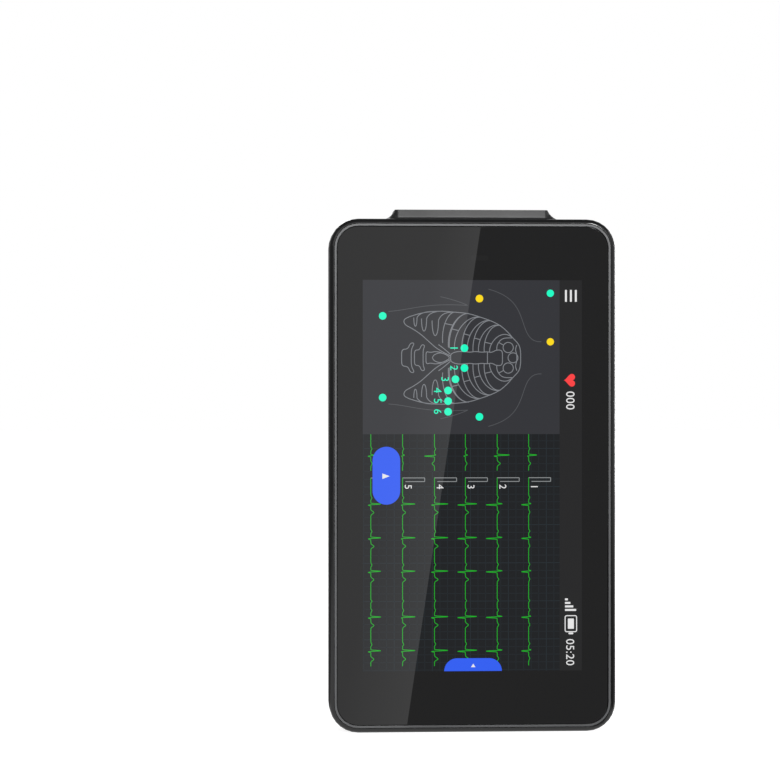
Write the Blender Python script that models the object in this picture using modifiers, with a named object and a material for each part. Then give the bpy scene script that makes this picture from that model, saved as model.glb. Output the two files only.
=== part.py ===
"""Handheld ECG monitor: a slim slab with a glass front, a lead socket on a raised
plinth at the top, three side keys and a screwed rear cover.

Units are metres. X is the width (the side keys are at +X), Y the depth (the screen
looks along -Y) and Z the height. The origin is the middle of the footprint.
"""

import math

import bmesh
import bpy
import numpy as np
from mathutils import Vector

# Body outline, its roundings and its walls
BODY_WIDTH = 0.0895
BODY_HEIGHT = 0.160
BODY_DEPTH = 0.020
OUTLINE_RADIUS = 0.009  # corners, seen from the front
SIDE_ROUND = 0.0088  # the long rear edges
END_ROUND = 0.0037  # the short rear edges, at the top and bottom
FRONT_ROUND = 0.0014
WALL = 0.0018
SEAM = 0.0003  # visible line between two shells
SEAT = 0.0003  # clearance between pieces that rest on each other
CLOSE_SEAT = 0.00015  # clearance of snug trims and connector pieces
OVERRUN = 0.002  # how far a cutter passes what it cuts

# Front: bezel, trim, glass and display
BEZEL_DEPTH = 0.0024
BEZEL_LAND = 0.00145  # from the outline to the glass opening
SPIGOT_DEPTH = 0.001
LEDGE_DEPTH = 0.00215  # from the front plane to the ledge behind the glass
TRIM_WIDTH = 0.00065
TRIM_DROP = 0.00005
GLASS_DROP = 0.00015
GLASS_THICKNESS = 0.0011
GLASS_BEVEL = 0.0002
GASKET_THICKNESS = 0.0003
GASKET_INSET = 0.0008
GASKET_WIDTH = 0.0032
SCREEN_SIDE = 0.0105  # from the lit screen to the body's sides
SCREEN_END = 0.0191  # and to its ends
SCREEN_WIDTH = BODY_WIDTH - 2 * SCREEN_SIDE
SCREEN_HEIGHT = BODY_HEIGHT - 2 * SCREEN_END
SCREEN_SHIFT = 0.00025
PANEL_SIDE = 0.0013  # black border of the panel at its sides and top
PANEL_FOOT = 0.0052  # border at the driver end
PANEL_THICKNESS = 0.0017
PANEL_ROOM = 0.0009
BACKPLATE_THICKNESS = 0.0004
BACKPLATE_LIP = 0.0012
SENSOR_X = 0.0022
SENSOR_BELOW_TOP = 0.0122
SENSOR_WIDTH = 0.0064
SENSOR_HEIGHT = 0.0030
SENSOR_DEPTH = 0.0022

# Plinth round the lead socket
HOOD_WIDTH = 0.0482
HOOD_FROM_FRONT = 0.0047
HOOD_FROM_BACK = 0.0019
HOOD_DEPTH = BODY_DEPTH - HOOD_FROM_FRONT - HOOD_FROM_BACK
HOOD_RISE = 0.0031
HOOD_EDGE = 0.0012
HOOD_SWEEP = 0.0030  # blend radius at the back
HOOD_SIDE_SWEEP = 0.0050
HOOD_FRONT_SWEEP = 0.0011
HOOD_LIP = 0.0002  # upright edge under the plinth's top
HOOD_ROOT = 0.0042
HOOD_SINK = 0.00005
POCKET_LAP = 0.0005  # the socket's flange reaches this far under the pocket's walls
POCKET_RADIUS = 0.0022

# Lead socket, fifteen ways in two rows
FLANGE_LENGTH = 0.0400
FLANGE_INSET = 0.0007  # from the plinth's front and back
FLANGE_DEPTH = HOOD_DEPTH - 2 * FLANGE_INSET
FLANGE_THICKNESS = 0.0008
FLANGE_DROP = 0.0008  # below the inside of the top wall
FLANGE_RADIUS = 0.0012
SOCKET_LENGTH = 0.0252
SOCKET_DEPTH_SHARE = 0.70  # of the flange's depth
SOCKET_DEPTH = FLANGE_DEPTH * SOCKET_DEPTH_SHARE
SOCKET_WALL = 0.0005
SOCKET_RADIUS = 0.0024
SOCKET_TAPER_SHARE = 0.055  # each end leans in by this share of the length
SOCKET_DROP = 0.0005  # rim below the top of the plinth
INSULATOR_DROP = 0.0003
CONTACT_PITCH = 0.00277
CONTACT_ROW_SHARE = 0.338  # between the two rows, as a share of the socket's depth
CONTACT_HOLE = 0.0012
CONTACT_DEPTH = 0.0042
LONG_ROW = 8
JACK_SPACING = 0.0333
JACK_ACROSS = 0.0048
JACK_HEIGHT = 0.0038
JACK_STEM = 0.0024
JACK_STEM_LENGTH = 0.0052
JACK_BORE = 0.0018
SOCKET_BLOCK_LENGTH = 0.0290
SOCKET_BLOCK_FRONT_SHARE = 0.38  # of the socket's depth, from its middle towards the screen
SOCKET_BLOCK_BACK_SHARE = 0.32
SOCKET_BLOCK_HEIGHT = 0.0077

# Rear cover, its gasket, screws and openings
COVER_SEAM_DEPTH = 0.0117  # from the front plane
COVER_BELOW_TOP = 0.0185
COVER_RADIUS = 0.0150
COVER_SQUARENESS = 3.5  # 2 makes the tongue's corners round, more makes them squarer
COVER_OVERHANG = 0.0004  # the corner arcs leave the side walls at an angle
SEAL_THICKNESS = 0.0008
SEAL_REACH = 0.0012
SCREW_INSET = 0.01465  # from the sides
SCREW_BELOW_TOP = 0.0305
SCREW_LOW_Z = 0.0243
SCREW_HEAD = 0.0020
SCREW_HEAD_HEIGHT = 0.0009
SCREW_HEAD_DROP = 0.0007
SCREW_SHANK = 0.0014
SCREW_TIP_GAP = 0.00335  # from the chassis plate
DRIVER_SHARE = 0.45  # driver socket across, as a share of a screw's head
BOSS_DIAMETER = 0.0060
POST_DIAMETER = 0.0050
POST_BELOW_BACK = 0.0073
LABEL_INSET = 0.01915  # from the sides
LABEL_HEIGHT = 0.0322
LABEL_Z = 0.0431
LABEL_RADIUS = 0.0035
LABEL_SINK = 0.0003
GRILLE_HOLE = 0.0009
GRILLE_PITCH = 0.00224
GRILLE_COLUMNS = 14
GRILLE_ROWS = 5
GRILLE_Z = 0.0112

# Rear camera
CAMERA_X = 0.0031
CAMERA_BELOW_TOP = 0.0105
WINDOW_DIAMETER = 0.0124
WINDOW_THICKNESS = 0.0007
WINDOW_DISH = 0.0105
WINDOW_DISH_DEPTH = 0.00025
WINDOW_SEAT = 0.0011
CAMERA_BORE = 0.0084
CAMERA_SIZE = 0.0085
CAMERA_GAP = 0.0008  # from the lead socket's block
CAMERA_BARREL = 0.0064
CAMERA_BARREL_RISE = 0.0007
CAMERA_RADIUS = 0.0006

# Side keys, spread along the body's height
KEY_DEPTH = 0.0069  # middle of the keys, from the front plane
KEY_WIDTH = 0.0030
POWER_KEY_SHARE = 0.74375
POWER_KEY_LENGTH = 0.0143
ROCKER_LENGTH_SHARE = 0.215625
RECORD_KEY_SHARE = 0.25625
RECORD_KEY_LENGTH = 0.0146
POWER_KEY_Z = BODY_HEIGHT * POWER_KEY_SHARE
ROCKER_Z = BODY_HEIGHT / 2
ROCKER_LENGTH = BODY_HEIGHT * ROCKER_LENGTH_SHARE
RECORD_KEY_Z = BODY_HEIGHT * RECORD_KEY_SHARE
KEY_RADIUS = 0.0013
KEY_CLEARANCE = 0.00025
KEY_FLANGE = 0.0007
KEY_FLANGE_THICKNESS = 0.0009
KEY_BACKSET = 0.00035  # the key's face below the side wall's face
KEY_CROWN = 0.0003
KEY_FLANGE_GAP = 0.0005
KEY_ROOM = 0.0012  # the chassis keeps this clear beyond the outer keys' ends
KEY_NUB = 0.0004
KEY_NUB_SIZE = 0.0016
SCALLOP_WIDTH = 0.0058
SCALLOP_MARGIN = 0.0042
SCALLOP_DEPTH = 0.0009
SCALLOP_RADIUS = 0.0019
SWITCH_GAP = 0.00045
SWITCH_HEIGHT = 0.0010
SWITCH_LENGTH = 0.0044
SWITCH_SPREAD = 0.0120  # rocker switches, from its pivot
KEY_BOARD_THICKNESS = 0.0005
KEY_BOARD_MARGIN = 0.0040

# Chassis plate
PLATE_THICKNESS = 0.0008
PLATE_INSET = 0.0026
RAIL_THICKNESS = 0.0008
BOARD_BOSS = 0.0034
BOARD_BOSS_RISE = 0.0010
FLEX_NOTCH = 0.0140
FLEX_NOTCH_HEIGHT = 0.0105

# Boards
BOARD_THICKNESS = 0.0010
BOARD_RADIUS = 0.0012
MAIN_BOARD_INSET = 0.00815  # from the sides
MAIN_BOARD_BELOW_TOP = 0.0055
MAIN_BOARD_HEIGHT = 0.0425
BOARD_SCREW_INSET = 0.0031  # from the board's sides
BOARD_SCREW_END = 0.0035  # and from its ends
BOARD_SCREW_HEAD = 0.0028
BOARD_SCREW_HEAD_HEIGHT = 0.0008
BOARD_SCREW_SHANK = 0.0012
BOARD_SCREW_LENGTH = 0.0018
MAIN_CAN_X = 0.0030
MAIN_CAN_INSET = 0.0178  # from the board's sides, both together halved
MAIN_CAN_BELOW_TOP = 0.0240  # its middle, below the board's upper edge
MAIN_CAN_HEIGHT = 0.0260
MAIN_CAN_RISE = 0.0016
CAN_SHEET = 0.0003
PROCESSOR_SIZE = 0.0120
PROCESSOR_THICKNESS = 0.0008
BOARD_GAP = 0.0029  # between the main board and the signal board
SIGNAL_BOARD_INSET = 0.0021  # from the main board's sides
SIGNAL_CAN_LESS = 0.0036  # narrower than the main can by this
SIGNAL_CAN_HEIGHT = 0.0200
SIGNAL_CAN_BELOW_TOP = 0.0255
SIGNAL_CAN_RISE = 0.0024
LINK_INSET = 0.0091  # from the main board's side
LINK_BELOW_TOP = 0.0155
LINK_WIDTH = 0.0100
LINK_HEIGHT = 0.0036
TRAY_GAP = 0.0016  # from the main can and from the screw post above
TRAY_MARGIN = 0.0005  # from the board's lower edge
TRAY_WIDTH = 0.0130
TRAY_THICKNESS = 0.0014
TRAY_SHEET = 0.0003
PORT_BOARD_INSET = 0.02075  # from the sides
PORT_BOARD_LOW = 0.0086
PORT_BOARD_TOP = 0.0212

# Charging port and microphone, at the bottom
PORT_WIDTH = 0.0090
PORT_HEIGHT = 0.0032
PORT_DEPTH = 0.0076
PORT_DROP = 0.0005
PORT_SHEET = 0.0003
TONGUE_WIDTH = 0.0066
TONGUE_THICKNESS = 0.0007
TONGUE_ROOT = 0.0022
MICROPHONE_X = 0.0140
MICROPHONE_HOLE = 0.0009
MICROPHONE_WIDTH = 0.0032
MICROPHONE_HEIGHT = 0.0024
MICROPHONE_THICKNESS = 0.0010

# Battery, speaker and the small inner pieces
CELL_INSET = 0.00975  # from the sides
CELL_LOW = 0.0300
CELL_BELOW_BOARD = 0.0060
CELL_RADIUS = 0.0022
PAD_THICKNESS = 0.00115
PAD_INSET = 0.0060
GUARD_HALF = 0.0180
GUARD_HEIGHT = 0.0026
GUARD_INSET = 0.0010
SPEAKER_WIDTH = 0.0325
SPEAKER_HEIGHT = 0.0116
SPEAKER_DEPTH = 0.0031
SPEAKER_LIP = 0.0012
SPEAKER_POCKET = 0.0012
SPEAKER_RADIUS = 0.0018
MESH_THICKNESS = 0.0003
MOTOR_INSET = 0.01325  # from the side
MOTOR_Z = 0.0125
MOTOR_DIAMETER = 0.0080
MOTOR_THICKNESS = 0.0027
AERIAL_LENGTH = 0.0560
AERIAL_BELOW_TOP = 0.0120
AERIAL_DEPTH = 0.0042
AERIAL_THICKNESS = 0.0005
FLEX_X = -0.0120
FLEX_WIDTH = 0.0100
FLEX_THICKNESS = 0.0003
FLEX_LOOP = 0.0021

# Facets
CORNER_STEPS = 7
COVER_STEPS = 12
EDGE_STEPS = 3
SMALL_STEPS = 4
ROUND_STEPS = 24
SMALL_ROUND_STEPS = 12
HOLE_STEPS = 6
HOOD_STEPS = 6
HOOD_SIDE_STEPS = 6
BALL_SAMPLES = 400

# Planes that several pieces share
FRONT_Y = -BODY_DEPTH / 2
BACK_Y = BODY_DEPTH / 2
SIDE_X = BODY_WIDTH / 2
INNER_BACK = BACK_Y - WALL
BEZEL_BACK = FRONT_Y + BEZEL_DEPTH
COVER_SEAM_Y = FRONT_Y + COVER_SEAM_DEPTH
COVER_TOP = BODY_HEIGHT - COVER_BELOW_TOP
LABEL_WIDTH = BODY_WIDTH - 2 * LABEL_INSET
CAMERA_Z = BODY_HEIGHT - CAMERA_BELOW_TOP
POST_TOP = BACK_Y - POST_BELOW_BACK
GLASS_BACK = FRONT_Y + GLASS_DROP + GLASS_THICKNESS
PANEL_BACK = GLASS_BACK + SEAT + PANEL_THICKNESS
BACKPLATE_BACK = PANEL_BACK + SEAT + BACKPLATE_THICKNESS
PLATE_FRONT = BACKPLATE_BACK + SEAT
PLATE_BACK = PLATE_FRONT + PLATE_THICKNESS
MAIN_BOARD_FRONT = PLATE_BACK + BOARD_BOSS_RISE + SEAT
MAIN_BOARD_BACK = MAIN_BOARD_FRONT + BOARD_THICKNESS
SIGNAL_BOARD_FRONT = MAIN_BOARD_BACK + BOARD_GAP
SIGNAL_BOARD_BACK = SIGNAL_BOARD_FRONT + BOARD_THICKNESS
CELL_THICKNESS = (INNER_BACK - SEAT - PAD_THICKNESS - PLATE_BACK - 3 * SEAT) / 2
MAIN_BOARD_HALF = SIDE_X - MAIN_BOARD_INSET
MAIN_BOARD_TOP = BODY_HEIGHT - MAIN_BOARD_BELOW_TOP
MAIN_BOARD_LOW = MAIN_BOARD_TOP - MAIN_BOARD_HEIGHT
MAIN_CAN_WIDTH = 2 * (MAIN_BOARD_HALF - MAIN_CAN_INSET)
MAIN_CAN_Z = MAIN_BOARD_TOP - MAIN_CAN_BELOW_TOP
LINK_X = MAIN_BOARD_HALF - LINK_INSET
LINK_Z = MAIN_BOARD_TOP - LINK_BELOW_TOP
TRAY_X = MAIN_CAN_X - (MAIN_CAN_WIDTH + TRAY_WIDTH) / 2 - TRAY_GAP
TRAY_LOW = MAIN_BOARD_LOW + TRAY_MARGIN
TRAY_TOP = BODY_HEIGHT - SCREW_BELOW_TOP - POST_DIAMETER / 2 - TRAY_GAP
CELL_HALF = SIDE_X - CELL_INSET
CELL_TOP = MAIN_BOARD_LOW - CELL_BELOW_BOARD
KEY_Y = FRONT_Y + KEY_DEPTH
HOOD_FRONT = FRONT_Y + HOOD_FROM_FRONT
HOOD_BACK = BACK_Y - HOOD_FROM_BACK
SOCKET_Y = (HOOD_FRONT + HOOD_BACK) / 2
HOOD_TOP = BODY_HEIGHT + HOOD_RISE
FLANGE_TOP = BODY_HEIGHT - WALL - FLANGE_DROP
FLANGE_BOTTOM = FLANGE_TOP - FLANGE_THICKNESS
SOCKET_BLOCK_TOP = FLANGE_BOTTOM - SEAT
SOCKET_BLOCK_LOW = SOCKET_BLOCK_TOP - SOCKET_BLOCK_HEIGHT
PANEL_HALF = SCREEN_WIDTH / 2 + PANEL_SIDE
PANEL_LOW = BODY_HEIGHT / 2 - SCREEN_HEIGHT / 2 - PANEL_FOOT
PANEL_TOP = BODY_HEIGHT / 2 + SCREEN_HEIGHT / 2 + PANEL_SIDE
SENSOR_Z = BODY_HEIGHT - SENSOR_BELOW_TOP
KEY_FLANGE_FACE = SIDE_X - WALL - KEY_FLANGE_GAP
KEY_INNER_FACE = KEY_FLANGE_FACE - KEY_FLANGE_THICKNESS
SWITCH_FACE = KEY_INNER_FACE - KEY_NUB - SWITCH_GAP
KEY_BOARD_FACE = SWITCH_FACE - SWITCH_HEIGHT - SEAT
RAIL_FACE = KEY_BOARD_FACE - KEY_BOARD_THICKNESS - SEAT
SCREW_X = SIDE_X - SCREW_INSET
SCREW_PLACES = [(x, z) for z in (BODY_HEIGHT - SCREW_BELOW_TOP, SCREW_LOW_Z) for x in (-SCREW_X, SCREW_X)]
BOARD_SCREW_X = MAIN_BOARD_HALF - BOARD_SCREW_INSET
BOARD_SCREW_ROWS = (MAIN_BOARD_TOP - BOARD_SCREW_END, MAIN_BOARD_LOW + BOARD_SCREW_END)
BOARD_SCREW_PLACES = [(x, z) for z in BOARD_SCREW_ROWS for x in (-BOARD_SCREW_X, BOARD_SCREW_X)]


def clear_scene():
    for item in list(bpy.data.objects):
        bpy.data.objects.remove(item, do_unlink=True)


def new_collection(name, hidden=False):
    group = bpy.data.collections.new(name)
    bpy.context.scene.collection.children.link(group)
    group.hide_render = hidden
    return group


clear_scene()
PARTS = new_collection("handheld_ecg_monitor")
CUTTERS = new_collection("cutters", hidden=True)


def material(name, color, roughness, metallic=0.0):
    made = bpy.data.materials.new(name)
    made.use_nodes = True
    shader = made.node_tree.nodes["Principled BSDF"]
    shader.inputs["Base Color"].default_value = (*color, 1.0)
    shader.inputs["Roughness"].default_value = roughness
    shader.inputs["Metallic"].default_value = metallic
    return made


BLACK_ABS = material("black_abs", (0.032, 0.032, 0.032), 0.45)
DARK_ABS = material("dark_abs", (0.014, 0.014, 0.014), 0.40)
TRIM_GREY = material("trim_grey", (0.13, 0.13, 0.13), 0.35)
BLACK_GLASS = material("black_glass", (0.012, 0.013, 0.014), 0.05)
SMOKED_WINDOW = material("smoked_window", (0.02, 0.02, 0.022), 0.15)
BLACK_RUBBER = material("black_rubber", (0.02, 0.02, 0.02), 0.75)
NICKEL_STEEL = material("nickel_steel", (0.55, 0.55, 0.53), 0.30, 1.0)
BLACK_STEEL = material("black_steel", (0.05, 0.05, 0.05), 0.40, 1.0)
MAGNESIUM = material("magnesium", (0.42, 0.43, 0.44), 0.45, 1.0)
GREEN_LAMINATE = material("green_laminate", (0.02, 0.11, 0.05), 0.45)
AMBER_POLYIMIDE = material("amber_polyimide", (0.45, 0.20, 0.03), 0.35)
BLACK_NYLON = material("black_nylon", (0.03, 0.03, 0.03), 0.50)
CELL_WRAP = material("cell_wrap", (0.06, 0.07, 0.08), 0.35)
GREY_FOAM = material("grey_foam", (0.10, 0.10, 0.10), 0.90)


def link(name, bm, group, finish=None):
    """Puts a bmesh into a named object of the given collection."""
    mesh = bpy.data.meshes.new(name)
    bm.to_mesh(mesh)
    bm.free()
    if finish:
        mesh.materials.append(finish)
        mesh.shade_smooth()
        mesh.set_sharp_from_angle(angle=math.radians(30))
    made = bpy.data.objects.new(name, mesh)
    group.objects.link(made)
    return made


def node(name, bm, finish):
    return link(name, bm, PARTS, finish)


def combine(target, operation, *tools):
    """Adds one live Boolean for each tool, a bmesh, in the order given."""
    for tool in tools:
        count = len(target.modifiers)
        helper = link(f"{target.name}_{operation.lower()}_{count}", tool, CUTTERS)
        helper.hide_render = True
        helper.display_type = "WIRE"
        step = target.modifiers.new(f"{operation.lower()}_{count}", "BOOLEAN")
        step.operation = operation
        step.object = helper
        step.solver = "EXACT"
    return target


def cut(target, *tools):
    return combine(target, "DIFFERENCE", *tools)


def add(target, *tools):
    return combine(target, "UNION", *tools)


def gathered(shapes):
    """Several bmeshes that don't touch, as one tool."""
    whole = bmesh.new()
    for shape in shapes:
        mesh = bpy.data.meshes.new("gathered")
        shape.to_mesh(mesh)
        shape.free()
        whole.from_mesh(mesh)
        bpy.data.meshes.remove(mesh)
    return whole


def box(low, high, axis=None, radius=0.0, steps=SMALL_STEPS):
    """A block between two corners, its four edges along one axis rounded."""
    bm = bmesh.new()
    bmesh.ops.create_cube(bm, size=1.0)
    low, high = Vector(low), Vector(high)
    bmesh.ops.scale(bm, vec=high - low, verts=bm.verts)
    bmesh.ops.translate(bm, vec=(low + high) / 2, verts=bm.verts)
    if axis is not None and radius:
        edges = [e for e in bm.edges if abs((e.verts[1].co - e.verts[0].co).normalized()[axis]) > 0.99]
        bmesh.ops.bevel(
            bm, geom=edges, offset=radius, segments=steps, profile=0.5, affect="EDGES", clamp_overlap=True
        )
    return bm


def soften(bm, axis, value, offset, steps=2):
    """Rounds the rim of the flat face that lies at this value along the axis."""
    rim = [e for e in bm.edges if all(abs(v.co[axis] - value) < offset / 10 for v in e.verts)]
    bmesh.ops.bevel(bm, geom=rim, offset=offset, segments=steps, profile=0.5, affect="EDGES")
    return bm


def rod(center, axis, diameter, length, steps=ROUND_STEPS):
    """A cylinder that starts at center and runs along +axis."""
    bm = bmesh.new()
    bmesh.ops.create_cone(
        bm, cap_ends=True, segments=steps, radius1=diameter / 2, radius2=diameter / 2, depth=length
    )
    turn = Vector((0, 0, 1)).rotation_difference(Vector([float(i == axis) for i in range(3)]))
    bmesh.ops.rotate(bm, matrix=turn.to_matrix(), verts=bm.verts)
    shift = Vector(center)
    shift[axis] += length / 2
    bmesh.ops.translate(bm, vec=shift, verts=bm.verts)
    return bm


def turned(name, profile, place, finish, steps=SMALL_ROUND_STEPS):
    """A profile of (radius, height) points, top to bottom, turned about an axis along +Y."""
    mesh = bpy.data.meshes.new(name)
    points = [(radius, 0.0, height) for radius, height in profile]
    mesh.from_pydata(points, [(i, i + 1) for i in range(len(points) - 1)], [])
    mesh.materials.append(finish)
    made = bpy.data.objects.new(name, mesh)
    PARTS.objects.link(made)
    made.location = place
    made.rotation_euler.x = -math.radians(90)
    spin = made.modifiers.new("turn", "SCREW")
    spin.steps = spin.render_steps = steps
    spin.use_merge_vertices = True
    spin.merge_threshold = CLOSE_SEAT / 10
    return made


def loft(rings):
    """A closed solid through rings of equally many points, with flat ends."""
    bm = bmesh.new()
    loops = [[bm.verts.new(point) for point in ring] for ring in rings]
    for lower, upper in zip(loops, loops[1:]):
        for i in range(len(lower)):
            j = (i + 1) % len(lower)
            bm.faces.new((lower[i], lower[j], upper[j], upper[i]))
    bm.faces.new(reversed(loops[0]))
    bm.faces.new(loops[-1])
    bmesh.ops.recalc_face_normals(bm, faces=bm.faces)
    return bm


def outline(half_width, low, high, radius_x, radius_z, y):
    """A rectangle in the XZ plane whose corners are quarter ellipses."""
    points = []
    for right, upper, first in ((1, 1, 0), (-1, 1, 1), (-1, -1, 2), (1, -1, 3)):
        for step in range(CORNER_STEPS + 1):
            angle = math.radians(90) * (first + step / CORNER_STEPS)
            x = right * (half_width - radius_x) + radius_x * math.cos(angle)
            z = (high - radius_z if upper > 0 else low + radius_z) + radius_z * math.sin(angle)
            points.append((x, y, z))
    return points


def fall(radius, depth):
    """How far a quarter round of this radius has drawn in, at a depth below its flat face."""
    return radius - math.sqrt(radius**2 - (radius - depth) ** 2) if depth < radius else 0.0


def body_form(inset, front):
    """The body's rear form, drawn in by inset on all sides: long edges rounder than short ones."""
    side, end = SIDE_ROUND - inset, END_ROUND - inset
    corner = OUTLINE_RADIUS - inset
    turns = [math.radians(90) * step / CORNER_STEPS for step in range(CORNER_STEPS + 1)]
    depths = {side * (1 - math.cos(turn)) for turn in turns}
    depths |= {end * (1 - math.cos(turn)) for turn in turns[EDGE_STEPS :: EDGE_STEPS]} | {end}
    spaced = []
    for depth in sorted(depths, reverse=True):
        if not spaced or spaced[-1] - depth > CLOSE_SEAT:
            spaced.append(depth)
    spaced[-1] = 0.0
    rings = [outline(SIDE_X - inset, inset, BODY_HEIGHT - inset, corner, corner, front)]
    for depth in spaced:
        from_side, from_end = fall(side, depth), fall(end, depth)
        rings.append(
            outline(
                SIDE_X - inset - from_side,
                inset + from_end,
                BODY_HEIGHT - inset - from_end,
                corner - from_side,
                corner - from_end,
                BACK_Y - inset - depth,
            )
        )
    return loft(rings)


def slab(inset, front, back, radius=None, front_round=0.0):
    """The body's outline, drawn in by inset, between two depths."""
    corner = OUTLINE_RADIUS - inset if radius is None else radius
    rings = []
    if front_round:
        for step in range(EDGE_STEPS + 1):
            angle = math.radians(90) * step / EDGE_STEPS
            drawn = inset + front_round * (1 - math.sin(angle))
            depth = front_round * (1 - math.cos(angle))
            reach = corner - drawn + inset
            rings.append(outline(SIDE_X - drawn, drawn, BODY_HEIGHT - drawn, reach, reach, front + depth))
    else:
        rings.append(outline(SIDE_X - inset, inset, BODY_HEIGHT - inset, corner, corner, front))
    rings.append(outline(SIDE_X - inset, inset, BODY_HEIGHT - inset, corner, corner, back))
    return loft(rings)


def top_surface(y):
    """Height of the body's top at this depth: flat, then the rear rounding."""
    past = np.clip(y - (BACK_Y - END_ROUND), 0.0, END_ROUND)
    return BODY_HEIGHT - END_ROUND + np.sqrt(END_ROUND**2 - past**2)


def hood_plan():
    """Points of the plinth's plan outline, with the way that each faces."""
    half = HOOD_WIDTH / 2 - HOOD_EDGE
    front, back = HOOD_FRONT + HOOD_EDGE, HOOD_BACK - HOOD_EDGE
    places, facings = [], []
    corners = ((half, back, 0), (-half, back, 1), (-half, front, 2), (half, front, 3))
    for x, y, first in corners:
        for step in range(SMALL_STEPS + 1):
            angle = math.radians(90) * (first + step / SMALL_STEPS)
            facing = Vector((math.cos(angle), math.sin(angle), 0))
            places.append(Vector((x, y, 0)) + facing * HOOD_EDGE)
            facings.append(facing)
        if first in (1, 3):
            start, end = (back, front) if first == 1 else (front, back)
            for step in range(1, HOOD_SIDE_STEPS):
                along = start + (end - start) * step / HOOD_SIDE_STEPS
                places.append(Vector((x + facings[-1].x * HOOD_EDGE, along, 0)))
                facings.append(Vector((facings[-1].x, 0, 0)))
    return places, facings


def hood_form():
    """The plinth with its concave sweep, as a ball rolled along its foot would leave it."""
    places, facings = hood_plan()
    rings = [[Vector((p.x, p.y, HOOD_TOP)) for p in places]]
    rings += [[] for _ in range(HOOD_STEPS + 2)]
    for place, facing in zip(places, facings):
        limit = HOOD_FRONT_SWEEP if facing.y < 0 else HOOD_SWEEP
        sweep = limit / max(abs(facing.y), limit / HOOD_SIDE_SWEEP)
        out = np.linspace(0.0, sweep, BALL_SAMPLES)
        resting = top_surface(place.y + facing.y * out) + np.sqrt(sweep**2 - (sweep - out) ** 2)
        contact = int(np.argmax(resting))
        centre = float(resting[contact]) - HOOD_SINK
        first = math.asin(max(centre - HOOD_TOP + HOOD_LIP, 0.0) / sweep)
        last = math.acos(1 - out[contact] / sweep)
        for step in range(HOOD_STEPS + 1):
            turn = first + (last - first) * step / HOOD_STEPS
            point = place + facing * sweep * (math.cos(first) - math.cos(turn))
            point.z = centre - sweep * math.sin(turn)
            rings[step + 1].append(point)
        foot = rings[-2][-1].copy()
        foot.z = BODY_HEIGHT - HOOD_ROOT
        rings[-1].append(foot)
    return loft(rings)


def cover_prism(grow):
    """The rear cover's tongue-shaped outline as a block, grown past the seam on every side."""
    half, high, reach = SIDE_X + COVER_OVERHANG + grow, COVER_TOP + grow, COVER_RADIUS + grow
    corner = []
    for step in range(COVER_STEPS + 1):
        turn = math.radians(90) * step / COVER_STEPS
        across = reach * max(math.cos(turn), 0.0) ** (2 / COVER_SQUARENESS)
        upward = reach * math.sin(turn) ** (2 / COVER_SQUARENESS)
        corner.append((half - reach + across, high - reach + upward))
    arch = corner + [(-x, z) for x, z in reversed(corner)] + [(-half, -OVERRUN), (half, -OVERRUN)]
    return loft([[(x, y, z) for x, z in arch] for y in (COVER_SEAM_Y - grow, BACK_Y + OVERRUN)])


def key_block(z, length, width, low, high, margin=0.0, radius=KEY_RADIUS):
    """A block along Z, centred on a key, with rounded ends seen from the side."""
    half = length / 2 + margin
    return box(
        (low, KEY_Y - width / 2 - margin, z - half),
        (high, KEY_Y + width / 2 + margin, z + half),
        axis=0,
        radius=radius + margin,
        steps=SMALL_STEPS,
    )


KEYS = (
    ("power_key", POWER_KEY_Z, POWER_KEY_LENGTH),
    ("volume_rocker", ROCKER_Z, ROCKER_LENGTH),
    ("record_key", RECORD_KEY_Z, RECORD_KEY_LENGTH),
)


def front_bezel():
    bezel = node("front_bezel", slab(0.0, FRONT_Y, BEZEL_BACK, front_round=FRONT_ROUND), BLACK_ABS)
    spigot = slab(WALL + SEAT, BEZEL_BACK - SPIGOT_DEPTH, BEZEL_BACK + SPIGOT_DEPTH)
    add(bezel, spigot)
    opening = slab(BEZEL_LAND, FRONT_Y - OVERRUN, FRONT_Y + LEDGE_DEPTH)
    window = box(
        (SCREEN_SHIFT - PANEL_HALF - PANEL_ROOM, FRONT_Y - OVERRUN, PANEL_LOW - PANEL_ROOM),
        (SCREEN_SHIFT + PANEL_HALF + PANEL_ROOM, BEZEL_BACK + OVERRUN, PANEL_TOP + PANEL_ROOM),
        axis=1,
        radius=PANEL_ROOM,
    )
    sensor_room = box(
        (SENSOR_X - SENSOR_WIDTH / 2 - SEAT, FRONT_Y - OVERRUN, SENSOR_Z - SENSOR_HEIGHT / 2 - SEAT),
        (SENSOR_X + SENSOR_WIDTH / 2 + SEAT, BEZEL_BACK + OVERRUN, SENSOR_Z + SENSOR_HEIGHT / 2 + SEAT),
    )
    cut(bezel, opening, window, sensor_room)


def display_trim():
    outer = BEZEL_LAND + CLOSE_SEAT
    back = FRONT_Y + LEDGE_DEPTH - SEAT
    trim = node("display_trim", slab(outer, FRONT_Y + TRIM_DROP, back), TRIM_GREY)
    cut(trim, slab(outer + TRIM_WIDTH, FRONT_Y - OVERRUN, back + OVERRUN))


def glass_inset():
    return BEZEL_LAND + CLOSE_SEAT + TRIM_WIDTH + CLOSE_SEAT


def cover_glass():
    front = FRONT_Y + GLASS_DROP
    node("cover_glass", slab(glass_inset(), front, GLASS_BACK, front_round=GLASS_BEVEL), BLACK_GLASS)


def glass_gasket():
    outer = glass_inset() + GASKET_INSET
    front = GLASS_BACK + SEAT
    gasket = node("glass_gasket", slab(outer, front, front + GASKET_THICKNESS), BLACK_RUBBER)
    inner = outer + GASKET_WIDTH
    cut(gasket, slab(inner, front - OVERRUN, front + OVERRUN, radius=OUTLINE_RADIUS - outer))


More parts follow.
